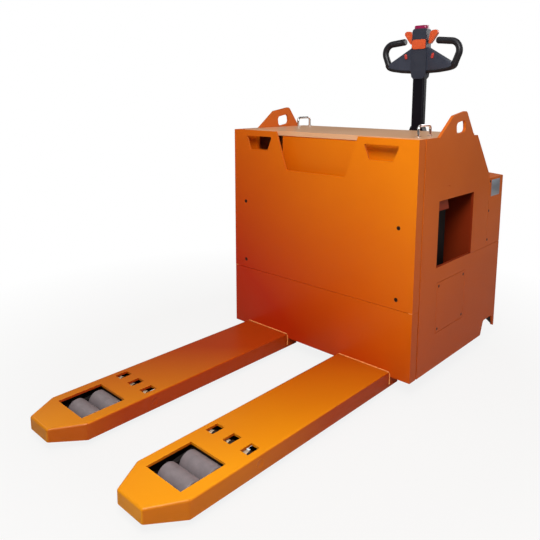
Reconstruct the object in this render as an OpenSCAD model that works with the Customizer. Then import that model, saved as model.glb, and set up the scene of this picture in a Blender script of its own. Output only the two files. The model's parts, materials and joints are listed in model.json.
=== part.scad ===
// Electric pallet truck with a battery bay, a lifting load section and a tiller.
// The forks point to -Y, the operator stands at +Y, +Z is up and the floor is z = 0.
// Lengths along Y are measured from the load face, and load_y puts the origin
// at the middle of the footprint.

/* [Overall] */
// Width over the side plates
body_w = 928; // [880:4:1120]
// Height of the battery deck above the floor
deck_z = 968; // [920:4:1170]
// Ground clearance under the load face and the side plates
ground_gap = 66; // [50:1:82]
// Thickness of the side plates
side_t = 12; // [8:1:16]
// Distance from the load face to the rear of the lower side plates
body_l = 752; // [740:2:900]
// How far the rear hood stands behind the side plates
hood_bulge = 118; // [100:2:160]

/* [Load face] */
// Thickness of the load plate and of the load panel
face_t = 8; // [6:0.5:12]
// Depth of the panel's side returns
return_d = 44; // [40:1:46]
// Thickness of the panel's side returns
return_t = 6; // [4:0.5:8]
// Height of the seam between load plate and load panel
seam_z = 337; // [300:1:360]
// Width of the seams and gaps between panels
seam_gap = 1.5; // [0.6:0.1:3]
// Width of the top notch at the deck
notch_top_w = 416; // [340:4:440]
// Width of the top notch at its floor
notch_low_w = 304; // [250:4:330]
// Depth of the top notch
notch_h = 160; // [120:2:190]
// Distance of a hand hole from the centre
hand_x = 311; // [300:1:340]
// Width of a hand hole at its top
hand_top_w = 152; // [120:2:160]
// Width of a hand hole at its floor
hand_low_w = 102; // [80:2:120]
// Height of a hand hole
hand_h = 59; // [40:1:70]
// Distance from the deck down to a hand hole
hand_drop = 25; // [20:1:40]
// Distance of the panel screws from the centre
panel_screw_x = 394; // [380:1:400]
// Height of the lower panel screws
panel_screw_low = 375; // [370:1:480]
// Height of the upper panel screws
panel_screw_high = 646; // [590:1:676]
// Diameter of the panel screws
panel_screw_d = 8; // [6:1:10]

/* [Forks] */
// Length of a fork from the load face to its tip
fork_l = 1070; // [1000:10:1300]
// Width of a fork
fork_w = 241; // [225:1:280]
// Distance of a fork's middle from the truck's middle
fork_x = 258.5; // [240:0.5:280]
// Height of the fork's top with the load section down
fork_top = 84; // [82:1:90]
// Height of the fork's channel section
fork_h = 58; // [54:1:62]
// Wall thickness of the fork
fork_t = 8; // [6:0.5:10]
// Width of the blunt tip
tip_w = 116; // [90:2:140]
// Length of the tapered tip
tip_l = 106; // [90:1:108]
// Rise of the underside at the tip
tip_rise = 13; // [6:1:20]
// Width of the window above the rollers
window_w = 157; // [152:1:160]
// Distance from the tip to the near end of the window
window_from = 109; // [108:1:116]
// Distance from the tip to the far end of the window
window_to = 272; // [266:1:290]
// Width of a small window across the fork
port_w = 34; // [24:1:40]
// Length of a small window along the fork
port_l = 50; // [40:1:60]
// Spacing of the small windows
port_pitch = 78; // [60:1:84]
// How far the load section rises
lift_h = 110; // [80:1:115]

/* [Rollers] */
// Diameter of a load roller
roller_d = 76; // [64:1:77]
// Length of a load roller
roller_l = 132; // [110:1:134]
// Distance between the two rollers of a pair
roller_pitch = 80; // [78:0.5:84]
// Distance from the fork's tip to the middle of the roller pair
bogie_from_tip = 207; // [204:1:212]
// Distance from the fork's tip to the roller arm's shaft
shaft_from_tip = 368; // [360:1:400]
// Height of the roller arm's shaft
shaft_z = 56; // [54:0.5:58]
// Diameter of the roller arm's shaft
shaft_d = 30; // [24:1:32]
// Diameter of a roller axle
axle_d = 20; // [16:1:24]
// Radial running clearance of pins and shafts
run_gap = 0.05; // [0.02:0.01:0.1]
// Length of the roller arm's pull lever
lever_l = 24; // [22:0.5:26]

/* [Side plates] */
// Distance from the load face to the front edge of the side plates
side_front = 50; // [48:1:60]
// Front edge of the side window
side_window_front = 167; // [162:1:200]
// Rear edge of the side window
side_window_rear = 462; // [420:1:466]
// Lower edge of the side window
side_window_low = 474; // [460:1:500]
// Upper edge of the side window
side_window_high = 731; // [700:1:740]
// Height of the seam where the rear hood ends
hood_z = 472; // [440:2:500]
// Distance from the load face to the hood's front edge
hood_front = 612; // [600:1:620]
// Height of the hood's top
hood_top = 772; // [760:1:780]
// Rise of a lifting lug above the deck
lug_h = 93; // [70:1:110]
// Front edge of the access cover
cover_front = 180; // [150:1:230]
// Rear edge of the access cover
cover_rear = 420; // [380:1:450]
// Lower edge of the access cover
cover_low = 207; // [190:1:220]
// Upper edge of the access cover
cover_high = 412; // [380:1:430]
// Thickness of an access cover
cover_t = 4; // [3:0.5:6]
// Diameter of the cover screws
cover_screw_d = 6; // [5:0.5:8]

/* [Drive] */
// Distance from the battery bay's rear wall to the steering axis
steer_from_bay = 206; // [196:1:216]
// Diameter of the drive wheel
drive_d = 230; // [200:2:234]
// Width of the drive wheel
drive_w = 74; // [60:1:78]
// Diameter of the drive motor
motor_d = 180; // [140:2:196]
// Radius of the turntable's running surface
turn_r = 100; // [96:1:104]
// Diameter of a stabiliser caster wheel
caster_d = 100; // [80:1:104]

/* [Tiller] */
// Distance from the load face to the tiller's hinge
tiller_y = 817; // [800:1:824]
// Height of the tiller's hinge
tiller_z = 828; // [826:1:834]
// Width of the tiller tube
tube_w = 62; // [56:1:66]
// Depth of the tiller tube
tube_d = 36; // [32:1:38]
// Height of the underside of the tiller head
head_z = 1198; // [1130:2:1300]
// Diameter of the hand grips
grip_d = 33; // [26:1:34]
// Diameter of the tiller's hinge pin
tiller_pin_d = 20; // [16:1:22]

/* [Hidden] */
$fn = 48;
paint = "darkorange";
half_w = body_w / 2;
inner_x = half_w - side_t;
hood_rear = body_l + hood_bulge;
load_y = (fork_l - hood_rear) / 2;
slack = 0.4;
past = 1;
panel_screw_z = [panel_screw_low, panel_screw_high];
window_span = [window_from, window_to];
port_size = [port_w, port_l];
side_window_y = [side_window_front, side_window_rear];
side_window_z = [side_window_low, side_window_high];
cover_box = [cover_front, cover_rear, cover_low, cover_high];

module at_face() { translate([0, load_y, 0]) children(); }
module both_sides() { children(); mirror([1, 0, 0]) children(); }
module left_side() { mirror([1, 0, 0]) children(); }
module block(lo, hi) { translate(lo) cube(hi - lo); }
// A flat shape given as [y, z] points, thick along X from x0 to x1
module slab_x(x0, x1) {
    translate([x0, 0, 0]) rotate([90, 0, 90]) linear_extrude(x1 - x0) children();
}
// A flat shape given as [x, z] points, thick along Y from y0 to y1
module slab_y(y0, y1) {
    translate([0, y1, 0]) rotate([90, 0, 0]) linear_extrude(y1 - y0) children();
}
module slab_z(z0, z1) { translate([0, 0, z0]) linear_extrude(z1 - z0) children(); }
module rod_x(x0, x1, y, z, r) {
    translate([x0, y, z]) rotate([0, 90, 0]) cylinder(h = x1 - x0, r = r);
}
module rod_y(y0, y1, x, z, r) {
    translate([x, y1, z]) rotate([90, 0, 0]) cylinder(h = y1 - y0, r = r);
}
module rod_z(z0, z1, x, y, r) { translate([x, y, z0]) cylinder(h = z1 - z0, r = r); }

// The arc that rounds corner b between a and c, in n steps
function corner(a, b, c, r, n) = r <= 0 ? [b] : let(
    u = (a - b) / norm(a - b), v = (c - b) / norm(c - b), half = acos(u * v) / 2,
    middle = b + (u + v) / norm(u + v) * r / sin(half),
    from = b + u * r / tan(half) - middle, to = b + v * r / tan(half) - middle)
    [for (k = [0:n]) let(w = from * (1 - k / n) + to * k / n) middle + w / norm(w) * r];
function rounded(p, r, n = 5) = let(m = len(p)) [for (i = [0:m - 1])
    each corner(p[(i + m - 1) % m], p[i], p[(i + 1) % m], r[i], n)];
function mirrored(p) = concat(p, [for (i = [len(p) - 1:-1:0]) [-p[i][0], p[i][1]]]);

// Countersunk screw along +Y from the origin, its head flush at y = 0
module screw(d, l) {
    rotate([-90, 0, 0]) union() {
        cylinder(h = d * 0.5, r1 = d, r2 = d / 2);
        cylinder(h = l, r = d / 2);
    }
}

/* ---- side plates and chassis ---- */
side_bottom = ground_gap;
slope_top = [hood_front - 144, deck_z - 6];
slope_low = [hood_front - 8, hood_top + 18];
slope_dir = (slope_low - slope_top) / norm(slope_low - slope_top);
slope_out = [-slope_dir[1], slope_dir[0]];
slope_angle = atan2(slope_dir[1], slope_dir[0]);
panel_t = 4;
panel_sink = 3;
lug_y = [149, 250, 358, 434];
arch_y = [611, 634, 725];
arch_z = 128;
side_outline = rounded([
    [side_front, side_bottom], [arch_y[0], side_bottom], [arch_y[1], arch_z],
    [arch_y[2], arch_z], [body_l - 6, side_bottom + 8], [body_l, side_bottom + 8],
    [body_l, hood_z], [hood_front, hood_z], [hood_front, hood_top], slope_low,
    slope_top, [lug_y[3], slope_top[1]], [lug_y[2], deck_z + lug_h],
    [lug_y[1], deck_z + lug_h - 17], [lug_y[0], deck_z], [side_front, deck_z]],
    [0, 4, 14, 14, 0, 0, 0, 0, 0, 6, 4, 6, 20, 12, 6, 0]);
lug_hole = [316, deck_z + 31];
lug_hole_size = [76, 46];
lug_hole_tilt = 9;
mark_slot = [237, 781];
cover_pad = 20;
cover_inset = 16;
function cover_screw_points() = [for (y = [cover_box[0] + cover_inset, cover_box[1] - cover_inset])
    for (z = [cover_box[2] + cover_inset, cover_box[3] - cover_inset]) [y, z]];
hood_screw_y = hood_front + 9;
hood_screw_z = [hood_top - 15, (hood_top + hood_z) / 2 + 7, hood_z + 30];
hood_t = 4;

module lug_hole_shape() {
    translate(lug_hole) rotate(lug_hole_tilt) polygon(rounded([
        [-lug_hole_size[0] / 2, -lug_hole_size[1] / 2], [lug_hole_size[0] / 2, -lug_hole_size[1] / 2],
        [lug_hole_size[0] / 2, lug_hole_size[1] / 2], [-lug_hole_size[0] / 2, lug_hole_size[1] / 2]],
        [16, 16, 16, 16]));
}
module side_plate() {
    difference() {
        slab_x(inner_x, half_w) difference() {
            polygon(side_outline);
            polygon([[side_window_y[0], side_window_z[0]], [side_window_y[1], side_window_z[0]],
                [side_window_y[1], side_window_z[1]], [side_window_y[0], side_window_z[1]]]);
            lug_hole_shape();
        }
        block([half_w - cover_t, cover_box[0], cover_box[2]], [half_w + past, cover_box[1], cover_box[3]]);
        block([inner_x - past, cover_box[0] + cover_pad * 1.6, cover_box[2] + cover_pad * 1.6],
            [half_w + past, cover_box[1] - cover_pad * 1.6, cover_box[3] - cover_pad * 1.6]);
        for (p = cover_screw_points()) rod_x(inner_x - past, half_w, p[0], p[1], cover_screw_d / 2);
        block([half_w - 1.5, side_window_y[1] + 8, hood_z - seam_gap / 2],
            [half_w + past, hood_front + past, hood_z + seam_gap / 2]);
        block([half_w - 2, mark_slot[0] - 10, mark_slot[1] - 2],
            [half_w + past, mark_slot[0] + 10, mark_slot[1] + 2]);
    }
}
module side_plate_right() at_face() color(paint) side_plate();
module side_plate_left() at_face() color(paint) left_side() side_plate();

module access_cover() {
    difference() {
        block([half_w - cover_t, cover_box[0] + seam_gap, cover_box[2] + seam_gap],
            [half_w, cover_box[1] - seam_gap, cover_box[3] - seam_gap]);
        for (p = cover_screw_points()) translate([half_w, p[0], p[1]]) rotate([0, 0, 90])
            screw(cover_screw_d, side_t);
    }
}
module access_cover_right() at_face() color(paint) access_cover();
module access_cover_left() at_face() color(paint) left_side() access_cover();

module cover_screws() at_face() color("dimgray") both_sides() {
    for (p = cover_screw_points()) translate([half_w, p[0], p[1]]) rotate([0, 0, 90])
        screw(cover_screw_d, side_t - past);
    for (z = hood_screw_z) translate([half_w, hood_screw_y, z]) rotate([0, 0, 90])
        screw(cover_screw_d, side_t + 4);
}

bay_rear = 484;
steer_y = bay_rear + steer_from_bay;
bay_floor = 200;
bay_floor_t = 12;
wall_t = 6;
shelf_z = 760;
bay_front = 150;
bay_wall_top = slope_top[1] - (bay_rear + wall_t - slope_top[0]) * slope_out[0] / slope_out[1] - panel_sink;
lid_t = 4;
lid_rim = 20;
lid_rear = 468;
lid_front = side_front + past;
drive_deck_z = 262;
drive_deck_t = 10;
turn_clear = 5;
cylinder_y = 104;
cylinder_r = 40;
foot_z = 66;
foot_t = 14;
caster_x = 340;
caster_y = 640;
caster_plate_z = 132;
caster_plate_t = 18;
caster_stem_r = 12;
bulkhead_port = [[-372, 880], [-216, 948]];
gusset_t = 6;
gusset = [[-14, -42], [104, -42], [84, 12], [-14, 12]];
// The steel frame that ties the side plates together round the battery and under the drive
module chassis_frame() at_face() color(paint) difference() {
    union() {
        block([-inner_x, bay_front, bay_floor], [inner_x, bay_rear + wall_t, bay_floor + bay_floor_t]);
        block([-inner_x, bay_front, foot_z], [inner_x, bay_front + wall_t, shelf_z - wall_t]);
        block([-inner_x, bay_rear, bay_floor], [inner_x, bay_rear + wall_t, bay_wall_top]);
        block([-inner_x, bay_rear, drive_deck_z], [inner_x, body_l - 3 * wall_t, drive_deck_z + drive_deck_t]);
        block([-100, cylinder_y - 44, foot_z], [100, bay_front + past, foot_z + foot_t]);
        for (x = [-90, 82]) block([x, cylinder_y - 44 + 60, foot_z], [x + 8, bay_front + past, foot_z + 70]);
        both_sides() {
            block([caster_x - 50, caster_y - 50, caster_plate_z],
                [inner_x, caster_y + 60, caster_plate_z + caster_plate_t]);
            block([caster_x - 50, caster_y - 50, caster_plate_z], [caster_x - 42, caster_y + 60, drive_deck_z + past]);
            block([inner_x - 22, hood_front - 22, drive_deck_z], [inner_x, hood_front + 24, hood_top - hood_t - slack]);
            block([inner_x - 8, bay_front + wall_t, shelf_z], [inner_x, bay_rear + past, shelf_z + 12]);
            slab_x(inner_x - gusset_t, inner_x) polygon([for (p = gusset) [side_window_y[0], side_window_z[1]] + p]);
        }
    }
    rod_z(drive_deck_z - past, drive_deck_z + drive_deck_t + past, 0, steer_y, turn_r + turn_clear);
    both_sides() {
        rod_z(caster_plate_z - past, caster_plate_z + caster_plate_t + past, caster_x, caster_y,
            caster_stem_r + run_gap);
        for (z = hood_screw_z) rod_x(inner_x - 30, half_w, hood_screw_y, z, cover_screw_d / 2);
    }
}

// The shelf over the lift gear, and the bulkhead that carries the lid's front edge
module upper_bulkhead() at_face() color(paint) difference() {
    union() {
        block([-inner_x, side_front, shelf_z - wall_t], [inner_x, bay_front + wall_t, shelf_z]);
        block([-inner_x, side_front, shelf_z - wall_t], [inner_x, side_front + wall_t, deck_z - lid_rim - 3]);
        block([-inner_x + 8, side_front + 1.5 + lid_t, shelf_z - past], [inner_x - 8, side_front + 3 * wall_t,
            deck_z - lid_t - slack]);
    }
    block([bulkhead_port[0][0], side_front - past, bulkhead_port[0][1]],
        [bulkhead_port[1][0], side_front + 4 * wall_t, bulkhead_port[1][1]]);
}

// Hood plan: straight sides, then a tapered bulge behind the turret
function hood_plan(inset, front) = mirrored([[-(half_w - inset), front], [-(half_w - inset), body_l - inset],
    [-(half_w * 0.5 - inset * 0.4), hood_rear - inset]]);
steer_hole_r = 62;
plate_box = [hood_front + 22, hood_front + 110, hood_top - 82, hood_top - 10];
plate_t = 1;
module rear_hood() at_face() color(paint) difference() {
    union() {
        difference() {
            slab_z(hood_z + seam_gap, hood_top) polygon(hood_plan(0, hood_front + seam_gap));
            slab_z(hood_z, hood_top - hood_t) polygon(hood_plan(side_t, hood_front - past));
        }
        block([-inner_x, slope_low[0] - 10, hood_top - hood_t], [inner_x, hood_front + 4, hood_top]);
    }
    rod_z(hood_z, hood_top + past, 0, steer_y, steer_hole_r);
    block([half_w - plate_t, plate_box[0], plate_box[2]], [half_w + past, plate_box[1], plate_box[3]]);
    both_sides() for (z = hood_screw_z) translate([half_w, hood_screw_y, z]) rotate([0, 0, 90])
        screw(cover_screw_d, side_t + 4);
}

skirt_t = 5;
skirt_low = 150;
module rear_skirt() at_face() color(paint) union() {
    slab_z(skirt_low, hood_z - skirt_t) difference() {
        polygon(hood_plan(side_t, body_l - 3 * wall_t));
        polygon(hood_plan(side_t + skirt_t, body_l - 4 * wall_t));
    }
    slab_z(hood_z - skirt_t, hood_z) difference() {
        polygon(hood_plan(side_t, body_l - 3 * wall_t));
        polygon(hood_plan(side_t * 4, body_l - 4 * wall_t));
    }
}

module blank_plate() at_face() color("lightsteelblue")
    block([half_w - plate_t, plate_box[0], plate_box[2]], [half_w, plate_box[1], plate_box[3]]);

ring_h = 22;
module turntable_ring() at_face() color("dimgray") difference() {
    rod_z(drive_deck_z - ring_h, drive_deck_z, 0, steer_y, turn_r + 44);
    rod_z(drive_deck_z - ring_h - past, drive_deck_z + past, 0, steer_y, turn_r + run_gap);
}

tank_box = [[-430, 500, 272], [-210, 600, 470]];
module hydraulic_tank() at_face() color("darkgray") {
    union() {
        block(tank_box[0], tank_box[1]);
        rod_z(tank_box[1][2], tank_box[1][2] + 18, -400, 550, 20);
    }
}
module pump_motor() at_face() color("dimgray") union() {
    rod_z(tank_box[1][2], tank_box[1][2] + 30, -300, 550, 48);
    rod_z(tank_box[1][2] + 30, tank_box[1][2] + 190, -300, 550, 44);
    rod_z(tank_box[1][2] + 190, tank_box[1][2] + 200, -300, 550, 30);
}
battery_box = [[-393, 158, bay_floor + bay_floor_t], [393, 364, 740]];
cell_cap_r = 22;
cell_cap_h = 12;
cell_pitch = [140, 100];
module battery_pack() at_face() color("darkslategray") union() {
    block(battery_box[0], battery_box[1]);
    for (i = [-2.5:2.5]) for (j = [-0.5, 0.5]) rod_z(battery_box[1][2], battery_box[1][2] + cell_cap_h,
        cell_pitch[0] * i, (battery_box[0][1] + battery_box[1][1]) / 2 + cell_pitch[1] * j, cell_cap_r);
}
module motor_controller() at_face() color("silver") union() {
    block([180, bay_rear + wall_t, 420], [380, bay_rear + wall_t + 12, 620]);
    for (i = [0:8]) block([190 + 21 * i, bay_rear + wall_t + 12, 425],
        [200 + 21 * i, bay_rear + wall_t + 34, 615]);
}

barrel_z = [foot_z + foot_t, 400];
rod_r = 20;
module lift_cylinder() at_face() color("dimgray") difference() {
    rod_z(barrel_z[0], barrel_z[1], 0, cylinder_y, cylinder_r);
    rod_z(barrel_z[0] + 20, barrel_z[1] + past, 0, cylinder_y, rod_r + run_gap);
}

/* ---- instruments ---- */
stop_at = 110;
key_at = 110;
stop_x = -250;
key_x = 250;
gauge_x = 120;
gauge_r = 24;
// A child drawn upright at the origin is set on the sloped panel, s along the slope
module on_slope(x, s) {
    translate([x, panel_start[0] + slope_dir[0] * s, panel_start[1] + slope_dir[1] * s])
        rotate([slope_angle, 0, 0]) children();
}
// The panel follows the side plates' slope and turns down onto the hood
panel_lip_y = hood_front - 6;
function slope_point(y, depth) = let(p = slope_top - slope_out * depth)
    [y, p[1] + (y - p[0]) * slope_dir[1] / slope_dir[0]];
panel_start = slope_point(bay_rear + wall_t + slack + panel_t * slope_out[0], panel_sink);
module instrument_panel() at_face() color(paint) difference() {
    slab_x(-inner_x, inner_x) polygon([panel_start, slope_point(panel_lip_y, panel_sink),
        [panel_lip_y, hood_top + slack], [panel_lip_y - panel_t, hood_top + slack],
        slope_point(panel_lip_y - panel_t, panel_sink + panel_t), panel_start - slope_out * panel_t]);
    on_slope(stop_x, stop_at) rod_z(-past - panel_t, past, 0, 0, 11 + run_gap);
    on_slope(key_x, key_at) rod_z(-past - panel_t, past, 0, 0, 9 + run_gap);
    on_slope(gauge_x, key_at) rod_z(-past - panel_t, past, 0, 0, gauge_r + run_gap);
}
module battery_gauge() at_face() color("black") on_slope(gauge_x, key_at) union() {
    rod_z(0, 5, 0, 0, gauge_r + 4);
    rod_z(-30, 0, 0, 0, gauge_r);
}
module emergency_stop() at_face() color("red") on_slope(stop_x, stop_at) union() {
    rod_z(-26, 12, 0, 0, 11);
    rod_z(12, 24, 0, 0, 20);
}
module key_switch() at_face() color("silver") on_slope(key_x, key_at) union() {
    rod_z(-24, 0, 0, 0, 9);
    rod_z(0, 4, 0, 0, 12);
    block([-1.5, -10, 4], [1.5, 10, 26]);
}

/* ---- battery lid ---- */
lid_x = inner_x - 3;
hinge_y = lid_rear + 7;
hinge_z = deck_z - 8;
hinge_r = 5.5;
hinge_pin_r = 3;
hinge_x = 300;
knuckle_l = 60;
module battery_lid() at_face() color("coral") difference() {
    union() {
        difference() {
            block([-lid_x, lid_front, deck_z - lid_rim], [lid_x, lid_rear, deck_z]);
            block([-lid_x + lid_t, lid_front + lid_t, deck_z - lid_rim - past],
                [lid_x - lid_t, lid_rear - lid_t, deck_z - lid_t]);
        }
        both_sides() {
            rod_x(hinge_x, hinge_x + knuckle_l, hinge_y, hinge_z, hinge_r);
            block([hinge_x, lid_rear - past, hinge_z - 2], [hinge_x + knuckle_l, hinge_y, hinge_z + 2]);
        }
    }
    both_sides() rod_x(hinge_x - past, hinge_x + knuckle_l + past, hinge_y, hinge_z, hinge_pin_r + run_gap);
}
module lid_hinges() at_face() color("silver") both_sides() union() {
    rod_x(hinge_x - 24, hinge_x + knuckle_l + 24, hinge_y, hinge_z, hinge_pin_r);
    for (x = [hinge_x - 24, hinge_x + knuckle_l + slack]) {
        rod_x(x, x + 24 - slack, hinge_y, hinge_z, hinge_r);
        block([x, hinge_y, hinge_z - hinge_r], [x + 24 - slack, bay_rear, hinge_z - 1.5]);
        block([x, bay_rear - 4, bay_wall_top - 14], [x + 24 - slack, bay_rear, hinge_z - 1.5]);
    }
}
handle_r = 5;
handle_span = 88;
handle_h = 42;
handle_bend = 14;
handle_spots = [[398, 152], [-398, 408]];
module lid_handles() at_face() color("silver") for (p = handle_spots) translate([p[0], p[1], deck_z]) union() {
    for (s = [-1, 1]) {
        rod_z(0, handle_h - handle_bend, 0, s * handle_span / 2, handle_r);
        rod_z(0, 3, 0, s * handle_span / 2, handle_r * 2);
        translate([0, s * (handle_span / 2 - handle_bend), handle_h - handle_bend]) rotate([90, 0, 90])
            rotate_extrude(angle = s * 90) translate([s * handle_bend, 0]) circle(r = handle_r);
    }
    rod_y(-handle_span / 2 + handle_bend, handle_span / 2 - handle_bend, 0, handle_h, handle_r);
}

/* ---- load section ---- */
fork_tail = 60;
tail_drop = 2;
shaft_y = -(fork_l - shaft_from_tip);
bogie_y = -(fork_l - bogie_from_tip);
bogie_z = roller_d / 2;
fork_plan = rounded([[-fork_w / 2, fork_tail], [-fork_w / 2, -fork_l + tip_l], [-tip_w / 2, -fork_l],
    [tip_w / 2, -fork_l], [fork_w / 2, -fork_l + tip_l], [fork_w / 2, fork_tail]], [0, 16, 10, 10, 16, 0]);
fork_low = fork_top - fork_h;
channel_x = fork_w / 2 - fork_t;
module fork() translate([fork_x, 0, 0]) difference() {
    slab_z(fork_low, fork_top) polygon(fork_plan);
    block([-channel_x, -fork_l + window_span[0] - 2, fork_low - past],
        [channel_x, fork_tail + past, fork_top - fork_t]);
    slab_x(-fork_w, fork_w) polygon([[-fork_l - past, fork_low - past],
        [-fork_l + tip_l, fork_low], [-fork_l - past, fork_low + tip_rise + 0.1]]);
    block([-window_w / 2, -fork_l + window_span[0], fork_low],
        [window_w / 2, -fork_l + window_span[1], fork_top + past]);
    for (i = [-1:1]) block([i * port_pitch - port_size[0] / 2, shaft_y - port_size[1] / 2, fork_low],
        [i * port_pitch + port_size[0] / 2, shaft_y + port_size[1] / 2, fork_top + past]);
    block([-fork_w / 2 - past, 0, fork_top - tail_drop], [fork_w / 2 + past, fork_tail + past, fork_top + past]);
    block([-channel_x, face_t, fork_low], [channel_x, fork_tail + past, fork_top]);
    rod_x(-fork_w, fork_w, shaft_y, shaft_z, shaft_d / 2);
}
module fork_right() at_face() color(paint) fork();
module fork_left() at_face() color(paint) left_side() fork();

module load_plate() at_face() color(paint) difference() {
    union() {
        block([-half_w, 0, ground_gap], [half_w, face_t, seam_z - seam_gap / 2]);
        both_sides() block([half_w - return_t, face_t, ground_gap], [half_w, return_d, seam_z - seam_gap / 2]);
    }
    both_sides() block([fork_x - fork_w / 2, -past, ground_gap - past],
        [fork_x + fork_w / 2, face_t + past, fork_top - tail_drop]);
}
notch_plan = rounded([[-notch_top_w / 2, deck_z + past], [-notch_low_w / 2, deck_z - notch_h],
    [notch_low_w / 2, deck_z - notch_h], [notch_top_w / 2, deck_z + past]], [0, 14, 14, 0]);
hand_plan = rounded([[-hand_top_w / 2, 0], [-hand_low_w / 2, -hand_h], [hand_low_w / 2, -hand_h],
    [hand_top_w / 2, 0]], [6, 6, 6, 6]);
module load_panel() at_face() color(paint) difference() {
    union() {
        slab_y(0, face_t) difference() {
            translate([-half_w, seam_z + seam_gap / 2]) square([body_w, deck_z - seam_z - seam_gap / 2]);
            polygon(notch_plan);
            for (s = [-1, 1]) translate([s * hand_x, deck_z - hand_drop]) polygon(hand_plan);
        }
        both_sides() block([half_w - return_t, face_t, seam_z + seam_gap / 2], [half_w, return_d, deck_z]);
    }
    both_sides() for (z = panel_screw_z) translate([panel_screw_x, 0, z]) screw(panel_screw_d, 40);
}
module load_panel_screws() at_face() color("dimgray") both_sides()
    for (z = panel_screw_z) translate([panel_screw_x, 0, z]) screw(panel_screw_d, 30);

torsion_y = 36;
torsion_z = 125;
torsion_r = 20;
upright_x = [372, 416];
upright_z = [150, 690];
beam_z = [500, 580];
mast_rear = 48;
module lift_mast() at_face() color(paint) difference() {
    union() {
        both_sides() {
            block([upright_x[0], face_t, upright_z[0]], [upright_x[1], mast_rear, upright_z[1]]);
            block([upright_x[0] + 20, face_t, torsion_z - 30], [upright_x[1], torsion_y + 30, upright_z[0] + past]);
        }
        block([-upright_x[0] - past, face_t + 4, beam_z[0]], [upright_x[0] + past, mast_rear, beam_z[1]]);
        block([-60, mast_rear - past, beam_z[0] + 20], [60, cylinder_y + cylinder_r, beam_z[1]]);
    }
    both_sides() {
        rod_x(upright_x[0], upright_x[1] + past, torsion_y, torsion_z, torsion_r + run_gap);
        for (z = panel_screw_z) rod_y(face_t - past, 38, panel_screw_x, z, panel_screw_d / 2);
    }
}
module lift_rod() at_face() color("silver")
    rod_z(barrel_z[0] + 24, beam_z[0] + 20, 0, cylinder_y, rod_r);

module arm_shafts() at_face() color("goldenrod") both_sides()
    rod_x(fork_x - fork_w / 2, fork_x + fork_w / 2, shaft_y, shaft_z, shaft_d / 2);

/* ---- lifting linkage ---- */
// The lever swings the same angle to each side of straight down, so its pin ends level
arm_run = bogie_y - shaft_y;
arm_l = norm([arm_run, shaft_z - bogie_z]);
arm_rest = asin((shaft_z - bogie_z) / arm_l);
arm_turn = asin((shaft_z - bogie_z + lift_h) / arm_l) - arm_rest;
lever_y = shaft_y - lever_l * sin(arm_turn / 2);
lever_z = shaft_z - lever_l * cos(arm_turn / 2);
rod_travel = 2 * lever_l * sin(arm_turn / 2);
crank_drop = torsion_z - lever_z;
crank_turn = 2 * atan(rod_travel / 2 / crank_drop);
crank_y = torsion_y - rod_travel / 2;
cheek_half = lever_l * cos(arm_turn / 2) - shaft_d / 2 - 0.6;
pin_r = cheek_half - 0.5;
eye_r = pin_r + 5;
eye_w = 14;
lever_slot = 2.4;
crank_slot = 0.8;
lever_play = 0.4;
crank_play = 0.15;
// A flat link from one boss to another with a round eye at its end, drawn in [y, z]
module link(p, rp, q, rq) {
    d = (q - p) / norm(q - p);
    side = [-d[1], d[0]];
    union() {
        translate(p) circle(r = rp);
        translate(q) circle(r = rq);
        polygon([p + side * rq, q + side * rq, q - side * rq, p - side * rq]);
    }
}
// A slot of radius r around point q along direction d
module slot_eye(q, d, reach, r) {
    side = [-d[1], d[0]];
    translate(q - d * reach) circle(r = r);
    translate(q + d * reach) circle(r = r);
    polygon([q - d * reach + side * r, q + d * reach + side * r, q + d * reach - side * r,
        q - d * reach - side * r]);
}
module torsion_shaft() at_face() color("dimgray") union() {
    rod_x(-upright_x[1] - 3, upright_x[1] + 3, torsion_y, torsion_z, torsion_r);
    both_sides() slab_x(fork_x - eye_w / 2, fork_x + eye_w / 2) difference() {
        link([torsion_y, torsion_z], torsion_r + 6, [crank_y, lever_z], eye_r);
        slot_eye([crank_y, lever_z], [0, 1], crank_slot, pin_r + crank_play);
    }
}
clevis_w = 34;
clevis_l = 52;
rod_bar_r = 8;
module pull_rod() translate([fork_x, 0, 0]) union() {
    rod_y(lever_y + clevis_l - 14, crank_y - clevis_l + 14, 0, lever_z, rod_bar_r);
    for (p = [[lever_y, 1], [crank_y, -1]]) translate([0, p[0], lever_z]) scale([1, p[1], 1]) union() {
        rod_x(-clevis_w / 2, clevis_w / 2, 0, 0, pin_r);
        for (s = [-1, 1]) block([s > 0 ? eye_w / 2 + slack : -clevis_w / 2, -9, -cheek_half],
            [s > 0 ? clevis_w / 2 : -eye_w / 2 - slack, clevis_l, cheek_half]);
        block([-clevis_w / 2, 34, -cheek_half], [clevis_w / 2, clevis_l, cheek_half]);
    }
}
module pull_rod_right() at_face() color("dimgray") pull_rod();
module pull_rod_left() at_face() color("dimgray") left_side() pull_rod();

plate_gap = 1;
bogie_t = 6;
arm_t = 8;
arm_x = roller_l / 2 + plate_gap + bogie_t + 2;
stub_r = 8;
arm_hub_r = 19;
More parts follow.
